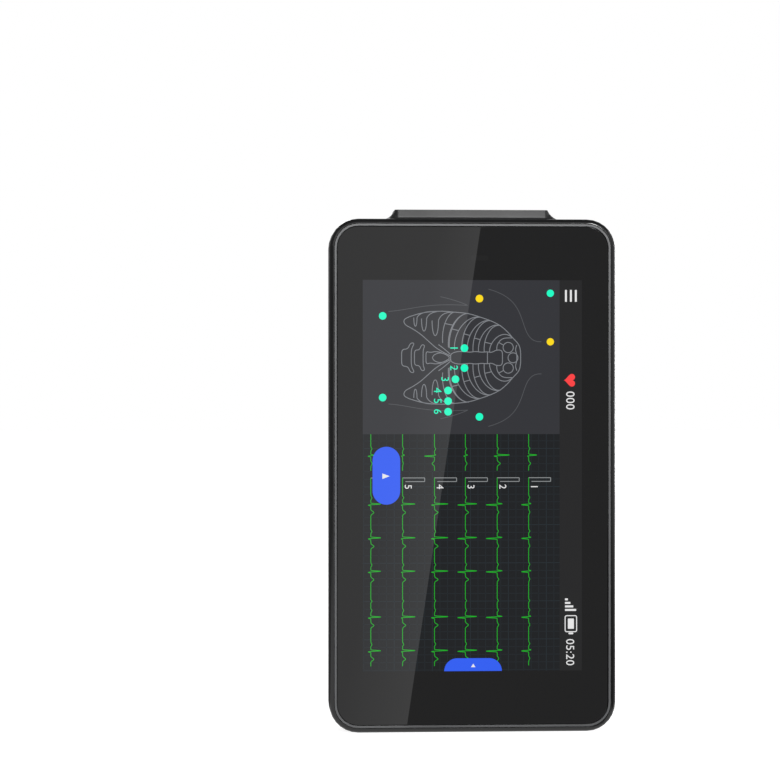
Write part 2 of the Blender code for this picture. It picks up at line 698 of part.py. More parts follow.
def lcd_panel():
    front = GLASS_BACK + SEAT
    panel = box(
        (SCREEN_SHIFT - PANEL_HALF, front, PANEL_LOW), (SCREEN_SHIFT + PANEL_HALF, PANEL_BACK, PANEL_TOP)
    )
    node("lcd_panel", panel, BLACK_GLASS)


def display_backplate():
    """A pressed tray: a sheet behind the panel with two stiffening flutes along it."""
    low = (SCREEN_SHIFT - PANEL_HALF, PANEL_BACK + SEAT, PANEL_LOW + BACKPLATE_LIP)
    high = (SCREEN_SHIFT + PANEL_HALF, BACKPLATE_BACK, PANEL_TOP)
    plate = node("display_backplate", box(low, high, axis=1, radius=BACKPLATE_LIP), NICKEL_STEEL)
    flutes = []
    for side in (-1, 1):
        middle = SCREEN_SHIFT + side * PANEL_HALF / 2
        flutes.append(
            box(
                (middle - BACKPLATE_LIP, low[1] - OVERRUN, low[2] + PANEL_FOOT),
                (middle + BACKPLATE_LIP, low[1] + BACKPLATE_THICKNESS / 2, high[2] - PANEL_FOOT),
                axis=1,
                radius=BACKPLATE_LIP / 2,
            )
        )
    cut(plate, gathered(flutes))


def light_sensor():
    front = GLASS_BACK + SEAT
    body = box(
        (SENSOR_X - SENSOR_WIDTH / 2, front, SENSOR_Z - SENSOR_HEIGHT / 2),
        (SENSOR_X + SENSOR_WIDTH / 2, front + SENSOR_DEPTH, SENSOR_Z + SENSOR_HEIGHT / 2),
        axis=1,
        radius=SENSOR_HEIGHT / 4,
    )
    node("light_sensor", body, BLACK_NYLON)


def rear_housing():
    """The moulded shell: walls all round, the top of the back and the plinth, in one."""
    front = BEZEL_BACK + SEAM
    housing = node("rear_housing", body_form(0.0, front), BLACK_ABS)
    add(housing, hood_form())
    cut(housing, body_form(WALL, front - OVERRUN), cover_prism(SEAM / 2))
    half_x, half_y = FLANGE_LENGTH / 2 - POCKET_LAP, FLANGE_DEPTH / 2 - POCKET_LAP
    pocket = box(
        (-half_x, SOCKET_Y - half_y, FLANGE_BOTTOM),
        (half_x, SOCKET_Y + half_y, HOOD_TOP + OVERRUN),
        axis=2,
        radius=POCKET_RADIUS,
    )
    window_seat = rod(
        (CAMERA_X, BACK_Y - WINDOW_SEAT, CAMERA_Z), 1, WINDOW_DIAMETER + 2 * CLOSE_SEAT, OVERRUN
    )
    camera_bore = rod((CAMERA_X, INNER_BACK - OVERRUN, CAMERA_Z), 1, CAMERA_BORE, 2 * OVERRUN)
    port_y = (MAIN_BOARD_FRONT + MAIN_BOARD_BACK) / 2
    port = box(
        (-PORT_WIDTH / 2 - SEAT, port_y - PORT_HEIGHT / 2 - SEAT, -OVERRUN),
        (PORT_WIDTH / 2 + SEAT, port_y + PORT_HEIGHT / 2 + SEAT, WALL + OVERRUN),
        axis=2,
        radius=PORT_HEIGHT / 2,
    )
    sound_hole = rod((MICROPHONE_X, port_y, -OVERRUN), 2, MICROPHONE_HOLE, WALL + 2 * OVERRUN, HOLE_STEPS)
    cut(housing, pocket, gathered([port, sound_hole]), window_seat, camera_bore)
    scallops, windows = [], []
    for _, z, length in KEYS:
        floor = SIDE_X - SCALLOP_DEPTH
        scallop = box(
            (floor, KEY_Y - SCALLOP_WIDTH / 2, z - length / 2 - SCALLOP_MARGIN),
            (SIDE_X + OVERRUN, KEY_Y + SCALLOP_WIDTH / 2, z + length / 2 + SCALLOP_MARGIN),
            axis=0,
            radius=SCALLOP_RADIUS,
        )
        scallops.append(soften(scallop, 0, floor, SCALLOP_DEPTH / 2))
        windows.append(
            key_block(z, length, KEY_WIDTH, SIDE_X - WALL - OVERRUN, SIDE_X + OVERRUN, KEY_CLEARANCE)
        )
    cut(housing, gathered(scallops), gathered(windows))


def rear_cover():
    """The tongue-shaped cover: the body's form inside the seam, with bosses, grille and recess."""
    cover = node("rear_cover", body_form(0.0, BEZEL_BACK), BLACK_ABS)
    combine(cover, "INTERSECT", cover_prism(-SEAM / 2))
    cut(cover, body_form(WALL, BEZEL_BACK - OVERRUN))
    bosses, bores, heads = [], [], []
    boss_front = POST_TOP + SEAT
    for x, z in SCREW_PLACES:
        bosses.append(rod((x, boss_front, z), 1, BOSS_DIAMETER, INNER_BACK + WALL / 2 - boss_front))
        bores.append(
            rod((x, boss_front - OVERRUN, z), 1, SCREW_SHANK + 2 * SEAT, BODY_DEPTH, SMALL_ROUND_STEPS)
        )
        seat = BACK_Y - SCREW_HEAD_DROP - SCREW_HEAD_HEIGHT - SEAT
        heads.append(rod((x, seat, z), 1, SCREW_HEAD + 2 * SEAT, BODY_DEPTH, SMALL_ROUND_STEPS))
    add(cover, gathered(bosses))
    label = box(
        (-LABEL_WIDTH / 2, BACK_Y - LABEL_SINK, LABEL_Z - LABEL_HEIGHT / 2),
        (LABEL_WIDTH / 2, BACK_Y + OVERRUN, LABEL_Z + LABEL_HEIGHT / 2),
        axis=1,
        radius=LABEL_RADIUS,
    )
    cut(cover, gathered(bores), gathered(heads), label, gathered(grille_holes()))


def grille_holes():
    """A grid of round holes; the outermost columns leave out their end holes."""
    holes = []
    for column in range(GRILLE_COLUMNS):
        for row in range(GRILLE_ROWS):
            if column in (0, GRILLE_COLUMNS - 1) and row in (0, GRILLE_ROWS - 1):
                continue
            x = (column - (GRILLE_COLUMNS - 1) / 2) * GRILLE_PITCH
            z = GRILLE_Z + (row - (GRILLE_ROWS - 1) / 2) * GRILLE_PITCH
            holes.append(rod((x, INNER_BACK - OVERRUN, z), 1, GRILLE_HOLE, WALL + 2 * OVERRUN, HOLE_STEPS))
    return holes


def rear_cover_seal():
    """A band of rubber that follows the seam inside both shells."""
    outer = WALL + SEAT
    seal = node("rear_cover_seal", body_form(outer, BEZEL_BACK), BLACK_RUBBER)
    cut(seal, body_form(outer + SEAL_THICKNESS, BEZEL_BACK - OVERRUN))
    combine(seal, "INTERSECT", cover_prism(SEAL_REACH))
    cut(seal, cover_prism(-SEAL_REACH))


def screw_profile(head, head_height, shank, length):
    """Half of a screw's section, from the socket in its head down to its tip."""
    edge = head_height / 4
    return [
        (0.0, -head_height / 2),
        (head * DRIVER_SHARE / 2, -head_height / 2),
        (head * DRIVER_SHARE / 2, 0.0),
        (head / 2 - edge, 0.0),
        (head / 2, -edge),
        (head / 2, -head_height),
        (shank / 2, -head_height),
        (shank / 2, -head_height - length),
        (0.0, -head_height - length),
    ]


def screws():
    """Every screw is driven along -Y."""
    head_back = BACK_Y - SCREW_HEAD_DROP
    length = head_back - SCREW_HEAD_HEIGHT - PLATE_BACK - SCREW_TIP_GAP
    profile = screw_profile(SCREW_HEAD, SCREW_HEAD_HEIGHT, SCREW_SHANK, length)
    for number, (x, z) in enumerate(SCREW_PLACES, start=1):
        turned(f"rear_cover_screw_{number}", profile, (x, head_back, z), BLACK_STEEL)
    profile = screw_profile(BOARD_SCREW_HEAD, BOARD_SCREW_HEAD_HEIGHT, BOARD_SCREW_SHANK, BOARD_SCREW_LENGTH)
    head_back = MAIN_BOARD_BACK + SEAT + BOARD_SCREW_HEAD_HEIGHT
    for number, (x, z) in enumerate(BOARD_SCREW_PLACES, start=1):
        turned(f"board_screw_{number}", profile, (x, head_back, z), NICKEL_STEEL)


def camera_window():
    """A disc turned about Y, with a shallow dish in its face."""
    rim, dish = WINDOW_DIAMETER / 2, WINDOW_DISH / 2
    profile = [
        (0.0, -WINDOW_DISH_DEPTH / 2),
        (dish - WINDOW_DISH_DEPTH, -WINDOW_DISH_DEPTH),
        (dish, 0.0),
        (rim, 0.0),
        (rim, -WINDOW_THICKNESS),
        (0.0, -WINDOW_THICKNESS),
    ]
    face = BACK_Y - WINDOW_SEAT + SEAT + WINDOW_THICKNESS
    turned("camera_window", profile, (CAMERA_X, face, CAMERA_Z), SMOKED_WINDOW, ROUND_STEPS)


def rear_camera():
    back = INNER_BACK - SEAT
    front = SOCKET_Y + SOCKET_DEPTH * SOCKET_BLOCK_BACK_SHARE + CAMERA_GAP
    body = box(
        (CAMERA_X - CAMERA_SIZE / 2, front, CAMERA_Z - CAMERA_SIZE / 2),
        (CAMERA_X + CAMERA_SIZE / 2, back, CAMERA_Z + CAMERA_SIZE / 2),
        axis=1,
        radius=CAMERA_RADIUS,
    )
    module = node("rear_camera_module", body, BLACK_NYLON)
    middle = (front + back) / 2
    barrel = rod((CAMERA_X, middle, CAMERA_Z), 1, CAMERA_BARREL, back - middle + CAMERA_BARREL_RISE)
    add(module, barrel)


def d_block(length, depth, low, high, shrink=0.0):
    """A block with the leaning ends of a D-shaped connector, narrower towards the screen."""
    lean = length * SOCKET_TAPER_SHARE
    bm = box(
        (-length / 2 + shrink, SOCKET_Y - depth / 2 + shrink, low),
        (length / 2 - shrink, SOCKET_Y + depth / 2 - shrink, high),
    )
    for vertex in bm.verts:
        if vertex.co.y < SOCKET_Y:
            vertex.co.x -= math.copysign(lean, vertex.co.x)
    upright = [e for e in bm.edges if abs(e.verts[0].co.z - e.verts[1].co.z) > (high - low) / 2]
    bmesh.ops.bevel(
        bm, geom=upright, offset=SOCKET_RADIUS - shrink, segments=SMALL_STEPS, profile=0.5, affect="EDGES"
    )
    return bm


def lead_socket():
    rim = HOOD_TOP - SOCKET_DROP
    flange = box(
        (-FLANGE_LENGTH / 2, SOCKET_Y - FLANGE_DEPTH / 2, FLANGE_BOTTOM),
        (FLANGE_LENGTH / 2, SOCKET_Y + FLANGE_DEPTH / 2, FLANGE_TOP),
        axis=2,
        radius=FLANGE_RADIUS,
    )
    shell = node("lead_socket_shell", flange, NICKEL_STEEL)
    add(shell, d_block(SOCKET_LENGTH, SOCKET_DEPTH, FLANGE_BOTTOM + FLANGE_THICKNESS / 2, rim))
    holes = [
        rod(
            (side * JACK_SPACING / 2, SOCKET_Y, FLANGE_BOTTOM - OVERRUN),
            2,
            JACK_STEM + 2 * SEAT,
            FLANGE_THICKNESS + 2 * OVERRUN,
            SMALL_ROUND_STEPS,
        )
        for side in (-1, 1)
    ]
    inside = d_block(SOCKET_LENGTH, SOCKET_DEPTH, FLANGE_BOTTOM - OVERRUN, rim + OVERRUN, SOCKET_WALL)
    cut(shell, inside, gathered(holes))

    face = rim - INSULATOR_DROP
    block = box(
        (-SOCKET_BLOCK_LENGTH / 2, SOCKET_Y - SOCKET_DEPTH * SOCKET_BLOCK_FRONT_SHARE, SOCKET_BLOCK_LOW),
        (SOCKET_BLOCK_LENGTH / 2, SOCKET_Y + SOCKET_DEPTH * SOCKET_BLOCK_BACK_SHARE, SOCKET_BLOCK_TOP),
        axis=0,
        radius=SOCKET_WALL,
        steps=EDGE_STEPS,
    )
    insulator = node("lead_socket_insulator", block, BLACK_NYLON)
    plug_low = SOCKET_BLOCK_TOP - SOCKET_WALL
    add(insulator, d_block(SOCKET_LENGTH, SOCKET_DEPTH, plug_low, face, SOCKET_WALL + CLOSE_SEAT))
    ways = []
    for row, count in ((1, LONG_ROW), (-1, LONG_ROW - 1)):
        for number in range(count):
            x = (number - (count - 1) / 2) * CONTACT_PITCH
            ways.append(
                rod(
                    (x, SOCKET_Y + row * SOCKET_DEPTH * CONTACT_ROW_SHARE / 2, face - CONTACT_DEPTH),
                    2,
                    CONTACT_HOLE,
                    CONTACT_DEPTH + OVERRUN,
                    HOLE_STEPS + 2,
                )
            )
    cut(insulator, gathered(ways))

    for number, side in enumerate((-1, 1), start=1):
        x = side * JACK_SPACING / 2
        base = FLANGE_TOP + SEAT
        nut = rod((x, SOCKET_Y, base), 2, JACK_ACROSS, JACK_HEIGHT, HOLE_STEPS)
        jack = node(f"lead_socket_jack_{number}", nut, NICKEL_STEEL)
        stem_length = JACK_STEM_LENGTH + JACK_HEIGHT / 2
        add(jack, rod((x, SOCKET_Y, base - JACK_STEM_LENGTH), 2, JACK_STEM, stem_length, SMALL_ROUND_STEPS))
        bore_base = base + JACK_HEIGHT / 4
        cut(jack, rod((x, SOCKET_Y, bore_base), 2, JACK_BORE, JACK_HEIGHT, SMALL_ROUND_STEPS))


def side_keys():
    """Flanged caps in the side wall, each with its origin where it moves."""
    face = SIDE_X - KEY_BACKSET
    for name, z, length in KEYS:
        cap = key_block(z, length, KEY_WIDTH, KEY_INNER_FACE + KEY_FLANGE_THICKNESS / 2, face)
        key = node(name, soften(cap, 0, face, KEY_CROWN), DARK_ABS)
        flange = key_block(z, length, KEY_WIDTH, KEY_INNER_FACE, KEY_FLANGE_FACE, KEY_FLANGE)
        add(key, flange)
        places = (z - SWITCH_SPREAD, z + SWITCH_SPREAD) if name == "volume_rocker" else (z,)
        nubs = [
            box(
                (KEY_INNER_FACE - KEY_NUB, KEY_Y - KEY_NUB_SIZE / 2, place - KEY_NUB_SIZE / 2),
                (KEY_INNER_FACE + KEY_NUB, KEY_Y + KEY_NUB_SIZE / 2, place + KEY_NUB_SIZE / 2),
            )
            for place in places
        ]
        add(key, gathered(nubs))
        key_origin = Vector((KEY_INNER_FACE, KEY_Y, z))
        for vertex in key.data.vertices:
            vertex.co -= key_origin
        key.location = key_origin


def key_board():
    low = RECORD_KEY_Z - RECORD_KEY_LENGTH / 2 - KEY_BOARD_MARGIN
    high = POWER_KEY_Z + POWER_KEY_LENGTH / 2 + KEY_BOARD_MARGIN
    strip = box(
        (KEY_BOARD_FACE - KEY_BOARD_THICKNESS, KEY_Y - KEY_WIDTH / 2, low),
        (KEY_BOARD_FACE, KEY_Y + KEY_WIDTH / 2, high),
    )
    node("side_key_board", strip, AMBER_POLYIMIDE)
    places = (POWER_KEY_Z, ROCKER_Z + SWITCH_SPREAD, ROCKER_Z - SWITCH_SPREAD, RECORD_KEY_Z)
    for number, z in enumerate(places, start=1):
        body_face = SWITCH_FACE - SWITCH_GAP
        body = box(
            (SWITCH_FACE - SWITCH_HEIGHT, KEY_Y - KEY_WIDTH / 2, z - SWITCH_LENGTH / 2),
            (body_face, KEY_Y + KEY_WIDTH / 2, z + SWITCH_LENGTH / 2),
        )
        switch = node(f"side_key_switch_{number}", body, NICKEL_STEEL)
        rise = SWITCH_FACE - body_face + SWITCH_HEIGHT / 4
        add(switch, rod((body_face - SWITCH_HEIGHT / 4, KEY_Y, z), 0, KEY_NUB_SIZE, rise, SMALL_ROUND_STEPS))


def chassis():
    """The plate that carries everything: screw posts, board bosses and the key rail."""
    plate = node("chassis", slab(PLATE_INSET, PLATE_FRONT, PLATE_BACK), MAGNESIUM)
    into = PLATE_THICKNESS / 2
    posts = [
        rod((x, PLATE_BACK - into, z), 1, POST_DIAMETER, POST_TOP - PLATE_BACK + into) for x, z in SCREW_PLACES
    ]
    bosses = [
        rod((x, PLATE_BACK - into, z), 1, BOARD_BOSS, BOARD_BOSS_RISE + into, SMALL_ROUND_STEPS)
        for x, z in BOARD_SCREW_PLACES
    ]
    rail = box(
        (RAIL_FACE - RAIL_THICKNESS, PLATE_BACK - into, RECORD_KEY_Z - RECORD_KEY_LENGTH / 2),
        (RAIL_FACE, KEY_Y + KEY_WIDTH / 2, POWER_KEY_Z + POWER_KEY_LENGTH / 2),
    )
    add(plate, gathered(posts + bosses + [rail]))
    bores = [
        rod(
            (x, PLATE_BACK + SEAT, z),
            1,
            SCREW_SHANK + 2 * SEAT,
            POST_TOP - PLATE_BACK + OVERRUN,
            SMALL_ROUND_STEPS,
        )
        for x, z in SCREW_PLACES
    ]
    taps = [
        rod((x, PLATE_FRONT - OVERRUN, z), 1, BOARD_SCREW_SHANK + 2 * SEAT, BODY_DEPTH / 2, SMALL_ROUND_STEPS)
        for x, z in BOARD_SCREW_PLACES
    ]
    notch = box(
        (FLEX_X - FLEX_NOTCH / 2, PLATE_FRONT - OVERRUN, 0.0),
        (FLEX_X + FLEX_NOTCH / 2, PLATE_BACK + OVERRUN, FLEX_NOTCH_HEIGHT),
    )
    key_room = box(
        (KEY_BOARD_FACE, PLATE_FRONT - OVERRUN, RECORD_KEY_Z - RECORD_KEY_LENGTH / 2 - KEY_ROOM),
        (SIDE_X, PLATE_BACK + OVERRUN, POWER_KEY_Z + POWER_KEY_LENGTH / 2 + KEY_ROOM),
    )
    cut(plate, gathered(bores + taps), gathered([key_room, notch]))


def board(name, half, low, high, front, holes):
    made = node(
        name,
        box((-half, front, low), (half, front + BOARD_THICKNESS, high), axis=1, radius=BOARD_RADIUS),
        GREEN_LAMINATE,
    )
    tools = [
        rod((x, front - OVERRUN, z), 1, diameter, BOARD_THICKNESS + 2 * OVERRUN, SMALL_ROUND_STEPS)
        for x, z, diameter in holes
    ]
    if tools:
        cut(made, gathered(tools))
    return made


def can(name, x, z, width, height, front, rise):
    """A folded shield can: a shallow box of thin sheet, open towards its board."""
    low = (x - width / 2, front, z - height / 2)
    high = (x + width / 2, front + rise, z + height / 2)
    made = node(name, box(low, high, axis=1, radius=CAN_SHEET * 2), NICKEL_STEEL)
    inside = box(
        (low[0] + CAN_SHEET, front - OVERRUN, low[2] + CAN_SHEET),
        (high[0] - CAN_SHEET, high[1] - CAN_SHEET, high[2] - CAN_SHEET),
    )
    cut(made, inside)


def boards():
    post_room = POST_DIAMETER + 2 * SEAT
    screw_room = BOARD_SCREW_SHANK + 2 * SEAT
    top_posts = [(x, z, post_room) for x, z in SCREW_PLACES if z > BODY_HEIGHT / 2]
    main_holes = top_posts + [(x, z, screw_room) for x, z in BOARD_SCREW_PLACES]
    board("main_board", MAIN_BOARD_HALF, MAIN_BOARD_LOW, MAIN_BOARD_TOP, MAIN_BOARD_FRONT, main_holes)
    signal_half, signal_top = MAIN_BOARD_HALF - SIGNAL_BOARD_INSET, SOCKET_BLOCK_LOW - SEAT
    board("signal_board", signal_half, MAIN_BOARD_LOW, signal_top, SIGNAL_BOARD_FRONT, top_posts)
    port_half = SIDE_X - PORT_BOARD_INSET
    board("port_board", port_half, PORT_BOARD_LOW, PORT_BOARD_TOP, MAIN_BOARD_FRONT, [])
    can_front = MAIN_BOARD_BACK + SEAT
    can("main_shield", MAIN_CAN_X, MAIN_CAN_Z, MAIN_CAN_WIDTH, MAIN_CAN_HEIGHT, can_front, MAIN_CAN_RISE)
    signal_front = SIGNAL_BOARD_BACK + SEAT
    can(
        "signal_shield",
        MAIN_CAN_X,
        MAIN_BOARD_TOP - SIGNAL_CAN_BELOW_TOP,
        MAIN_CAN_WIDTH - SIGNAL_CAN_LESS,
        SIGNAL_CAN_HEIGHT,
        signal_front,
        SIGNAL_CAN_RISE,
    )
    half = PROCESSOR_SIZE / 2
    chip = box(
        (MAIN_CAN_X - half, can_front, MAIN_CAN_Z - half),
        (MAIN_CAN_X + half, can_front + PROCESSOR_THICKNESS, MAIN_CAN_Z + half),
    )
    node("processor", chip, BLACK_NYLON)
    link_block = box(
        (LINK_X - LINK_WIDTH / 2, can_front, LINK_Z - LINK_HEIGHT / 2),
        (LINK_X + LINK_WIDTH / 2, SIGNAL_BOARD_FRONT - SEAT, LINK_Z + LINK_HEIGHT / 2),
    )
    node("board_link", link_block, BLACK_NYLON)
    left, right = TRAY_X - TRAY_WIDTH / 2, TRAY_X + TRAY_WIDTH / 2
    tray = box((left, can_front, TRAY_LOW), (right, can_front + TRAY_THICKNESS, TRAY_TOP))
    holder = node("card_holder", tray, NICKEL_STEEL)
    slot = box(
        (left + TRAY_SHEET, can_front + TRAY_SHEET, TRAY_LOW - OVERRUN),
        (right - TRAY_SHEET, can_front + TRAY_THICKNESS - TRAY_SHEET, TRAY_TOP - TRAY_SHEET),
    )
    cut(holder, slot)


def charging_port():
    middle = (MAIN_BOARD_FRONT + MAIN_BOARD_BACK) / 2
    top = PORT_DROP + PORT_DEPTH
    tube = box(
        (-PORT_WIDTH / 2, middle - PORT_HEIGHT / 2, PORT_DROP),
        (PORT_WIDTH / 2, middle + PORT_HEIGHT / 2, top),
        axis=2,
        radius=PORT_HEIGHT / 2.05,
    )
    shell = node("charging_port_shell", tube, NICKEL_STEEL)
    inside = box(
        (-PORT_WIDTH / 2 + PORT_SHEET, middle - PORT_HEIGHT / 2 + PORT_SHEET, PORT_DROP - OVERRUN),
        (PORT_WIDTH / 2 - PORT_SHEET, middle + PORT_HEIGHT / 2 - PORT_SHEET, top + OVERRUN),
        axis=2,
        radius=PORT_HEIGHT / 2.05 - PORT_SHEET,
    )
    cut(shell, inside)
    tongue = box(
        (-TONGUE_WIDTH / 2, middle - TONGUE_THICKNESS / 2, PORT_DROP + TONGUE_THICKNESS),
        (TONGUE_WIDTH / 2, middle + TONGUE_THICKNESS / 2, top),
    )
    core = node("charging_port_tongue", tongue, BLACK_NYLON)
    room = PORT_SHEET + CLOSE_SEAT
    root = box(
        (-PORT_WIDTH / 2 + room, middle - PORT_HEIGHT / 2 + room, top - TONGUE_ROOT),
        (PORT_WIDTH / 2 - room, middle + PORT_HEIGHT / 2 - room, top),
        axis=2,
        radius=PORT_HEIGHT / 2.05 - room,
    )
    add(core, root)


def microphone():
    front = MAIN_BOARD_BACK + SEAT
    body = box(
        (MICROPHONE_X - MICROPHONE_WIDTH / 2, front, PORT_BOARD_LOW),
        (MICROPHONE_X + MICROPHONE_WIDTH / 2, front + MICROPHONE_THICKNESS, PORT_BOARD_LOW + MICROPHONE_HEIGHT),
    )
    node("microphone", body, NICKEL_STEEL)


def battery():
    """Two flat cells back to back, their protection strip and the foam behind them."""
    front = PLATE_BACK + SEAT
    for name in ("battery_cell_front", "battery_cell_rear"):
        cell = box(
            (-CELL_HALF, front, CELL_LOW),
            (CELL_HALF, front + CELL_THICKNESS, CELL_TOP),
            axis=2,
            radius=CELL_RADIUS,
        )
        node(name, cell, CELL_WRAP)
        front += CELL_THICKNESS + SEAT
    pad = box(
        (-CELL_HALF + PAD_INSET, front, CELL_LOW + PAD_INSET),
        (CELL_HALF - PAD_INSET, INNER_BACK - SEAT, CELL_TOP - PAD_INSET),
        axis=1,
        radius=PAD_INSET / 2,
    )
    node("battery_pad", pad, GREY_FOAM)
    guard = box(
        (-GUARD_HALF, PLATE_BACK + SEAT + GUARD_INSET, CELL_TOP + SEAT),
        (GUARD_HALF, front - GUARD_INSET, CELL_TOP + SEAT + GUARD_HEIGHT),
    )
    node("battery_guard_board", guard, GREEN_LAMINATE)


def speaker():
    mesh_back = INNER_BACK - SEAT
    half_x, half_z = SPEAKER_WIDTH / 2, SPEAKER_HEIGHT / 2
    cloth = box(
        (-half_x, mesh_back - MESH_THICKNESS, GRILLE_Z - half_z),
        (half_x, mesh_back, GRILLE_Z + half_z),
        axis=1,
        radius=SPEAKER_RADIUS,
    )
    node("speaker_mesh", cloth, BLACK_STEEL)
    back = mesh_back - MESH_THICKNESS - SEAT
    case = box(
        (-half_x, back - SPEAKER_DEPTH, GRILLE_Z - half_z),
        (half_x, back, GRILLE_Z + half_z),
        axis=1,
        radius=SPEAKER_RADIUS,
    )
    module = node("speaker_module", case, BLACK_NYLON)
    mouth = box(
        (-half_x + SPEAKER_LIP, back - SPEAKER_POCKET, GRILLE_Z - half_z + SPEAKER_LIP),
        (half_x - SPEAKER_LIP, back + OVERRUN, GRILLE_Z + half_z - SPEAKER_LIP),
        axis=1,
        radius=SPEAKER_RADIUS / 2,
    )
    cut(module, mouth)


def small_pieces():
    motor = rod((MOTOR_INSET - SIDE_X, PLATE_BACK + SEAT, MOTOR_Z), 1, MOTOR_DIAMETER, MOTOR_THICKNESS)
    node("vibration_motor", motor, NICKEL_STEEL)
    wall, top = -SIDE_X + WALL + SEAT, BODY_HEIGHT - AERIAL_BELOW_TOP
    aerial = box(
        (wall, PLATE_BACK + SEAT, top - AERIAL_LENGTH),
        (wall + AERIAL_THICKNESS, PLATE_BACK + SEAT + AERIAL_DEPTH, top),
    )
    node("aerial", aerial, AMBER_POLYIMIDE)


def display_flex():
    """A ribbon from the panel's foot, round the notch in the plate, to the port board."""
    start_y = BEZEL_BACK + SPIGOT_DEPTH + SEAT + FLEX_THICKNESS / 2
    end_y = MAIN_BOARD_FRONT - SEAT - FLEX_THICKNESS / 2
    radius = (end_y - start_y) / 2
    centre_y, centre_z = (start_y + end_y) / 2, FLEX_NOTCH_HEIGHT - 2 * SEAT
    path = [(start_y, PANEL_LOW + BACKPLATE_LIP - SEAT)]
    for step in range(HOLE_STEPS + 1):
        angle = math.radians(180) * step / HOLE_STEPS
        path.append((centre_y - radius * math.cos(angle), centre_z - FLEX_LOOP * math.sin(angle)))
    path.append((end_y, PORT_BOARD_LOW + FLEX_WIDTH / 2))
    bm = bmesh.new()
    rows = []
    for y, z in path:
        rows.append([bm.verts.new((FLEX_X + side * FLEX_WIDTH / 2, y, z)) for side in (-1, 1)])
    for first, second in zip(rows, rows[1:]):
        bm.faces.new((first[0], first[1], second[1], second[0]))
    ribbon = node("display_flex", bm, AMBER_POLYIMIDE)
    wall = ribbon.modifiers.new("thickness", "SOLIDIFY")
    wall.thickness = FLEX_THICKNESS
    wall.offset = 0.0


front_bezel()
display_trim()
cover_glass()
glass_gasket()
lcd_panel()
display_backplate()
light_sensor()
rear_housing()
rear_cover()
rear_cover_seal()
screws()
camera_window()
rear_camera()
lead_socket()
side_keys()
key_board()
chassis()
boards()
charging_port()
microphone()
battery()
speaker()
small_pieces()
display_flex()
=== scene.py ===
# Handheld ECG monitor with a touch screen, three side keys and a lead socket on top.
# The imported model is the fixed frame, and everything below is in its metres: x to the right of
# the screen, y from the screen to the back, z up.
import math

import bmesh
import bpy
import numpy as np
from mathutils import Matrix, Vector


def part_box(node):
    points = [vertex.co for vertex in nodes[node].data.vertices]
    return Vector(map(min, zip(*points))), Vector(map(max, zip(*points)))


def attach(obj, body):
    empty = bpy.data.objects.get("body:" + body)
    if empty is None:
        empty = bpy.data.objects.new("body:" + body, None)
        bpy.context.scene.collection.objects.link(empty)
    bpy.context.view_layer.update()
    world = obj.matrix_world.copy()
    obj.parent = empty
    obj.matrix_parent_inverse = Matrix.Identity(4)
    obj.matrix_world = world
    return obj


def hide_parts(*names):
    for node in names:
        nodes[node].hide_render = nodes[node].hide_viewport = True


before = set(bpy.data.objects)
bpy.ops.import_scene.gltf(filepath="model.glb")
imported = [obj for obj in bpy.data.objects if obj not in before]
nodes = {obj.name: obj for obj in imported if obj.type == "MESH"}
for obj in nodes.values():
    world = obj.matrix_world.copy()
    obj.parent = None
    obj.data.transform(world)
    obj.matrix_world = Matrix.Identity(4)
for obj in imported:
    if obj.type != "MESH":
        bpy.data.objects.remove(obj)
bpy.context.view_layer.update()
mm = 0.001
print("frame loaded,", len(nodes), "CAD nodes")


# ---- helpers for colours, nodes and meshes
def linearColour(hexText):
    # sRGB to linear: a straight line up to 0.04045, the 2.4 power curve above it
    parts = [int(hexText[i:i + 2], 16) / 255 for i in (1, 3, 5)]
    return tuple(c / 12.92 if c <= 0.04045 else ((c + 0.055) / 1.055) ** 2.4 for c in parts) + (1.0,)


def addNode(tree, kind, settings=None, inputs=None):
    # settings are the node's own options; an input is a value, or a (node, socket) link
    node = tree.nodes.new(kind)
    for key, value in (settings or {}).items():
        setattr(node, key, value)
    for key, value in (inputs or {}).items():
        if isinstance(value, tuple) and isinstance(value[0], bpy.types.Node):
            tree.links.new(value[0].outputs[value[1]], node.inputs[key])
        else:
            node.inputs[key].default_value = value
    return node


def emptyTree(owner):
    # the nodes of a material or a world, with none in it yet
    owner.use_nodes = True
    owner.node_tree.nodes.clear()
    return owner.node_tree


def twoShades(tree, share, first, second):
    # runs from one hex colour to the other by a share
    return addNode(tree, "ShaderNodeMix", {"data_type": "RGBA"},
                   {"Factor": share, 6: linearColour(first), 7: linearColour(second)})


def startMaterial(name):
    # an empty material with its shader; the surface's own place in metres is the pattern's place
    material = bpy.data.materials.new(name)
    tree = emptyTree(material)
    output = addNode(tree, "ShaderNodeOutputMaterial")
    shader = addNode(tree, "ShaderNodeBsdfPrincipled")
    tree.links.new(shader.outputs["BSDF"], output.inputs["Surface"])
    place = addNode(tree, "ShaderNodeTexCoord")
    return material, tree, shader, place


def gridQuads(rows, columns, closed=False):
    # the four corners of each cell of a grid stored row after row; closed joins its last
    # column to its first
    r, c = np.meshgrid(np.arange(rows - 1), np.arange(columns if closed else columns - 1), indexing="ij")
    n = (c + 1) % columns
    corners = [r * columns + c, r * columns + n, (r + 1) * columns + n, (r + 1) * columns + c]
    return np.stack(corners, -1).reshape(-1, 4)


def joinShapes(shapes):
    # each shape is (points, list of face arrays); its faces are moved on by the points before it
    points, faces, start = [], [], 0
    for shapePoints, shapeFaces in shapes:
        points.append(np.asarray(shapePoints, float))
        for block in shapeFaces:
            faces += (np.asarray(block) + start).tolist()
        start += len(shapePoints)
    return np.concatenate(points), faces


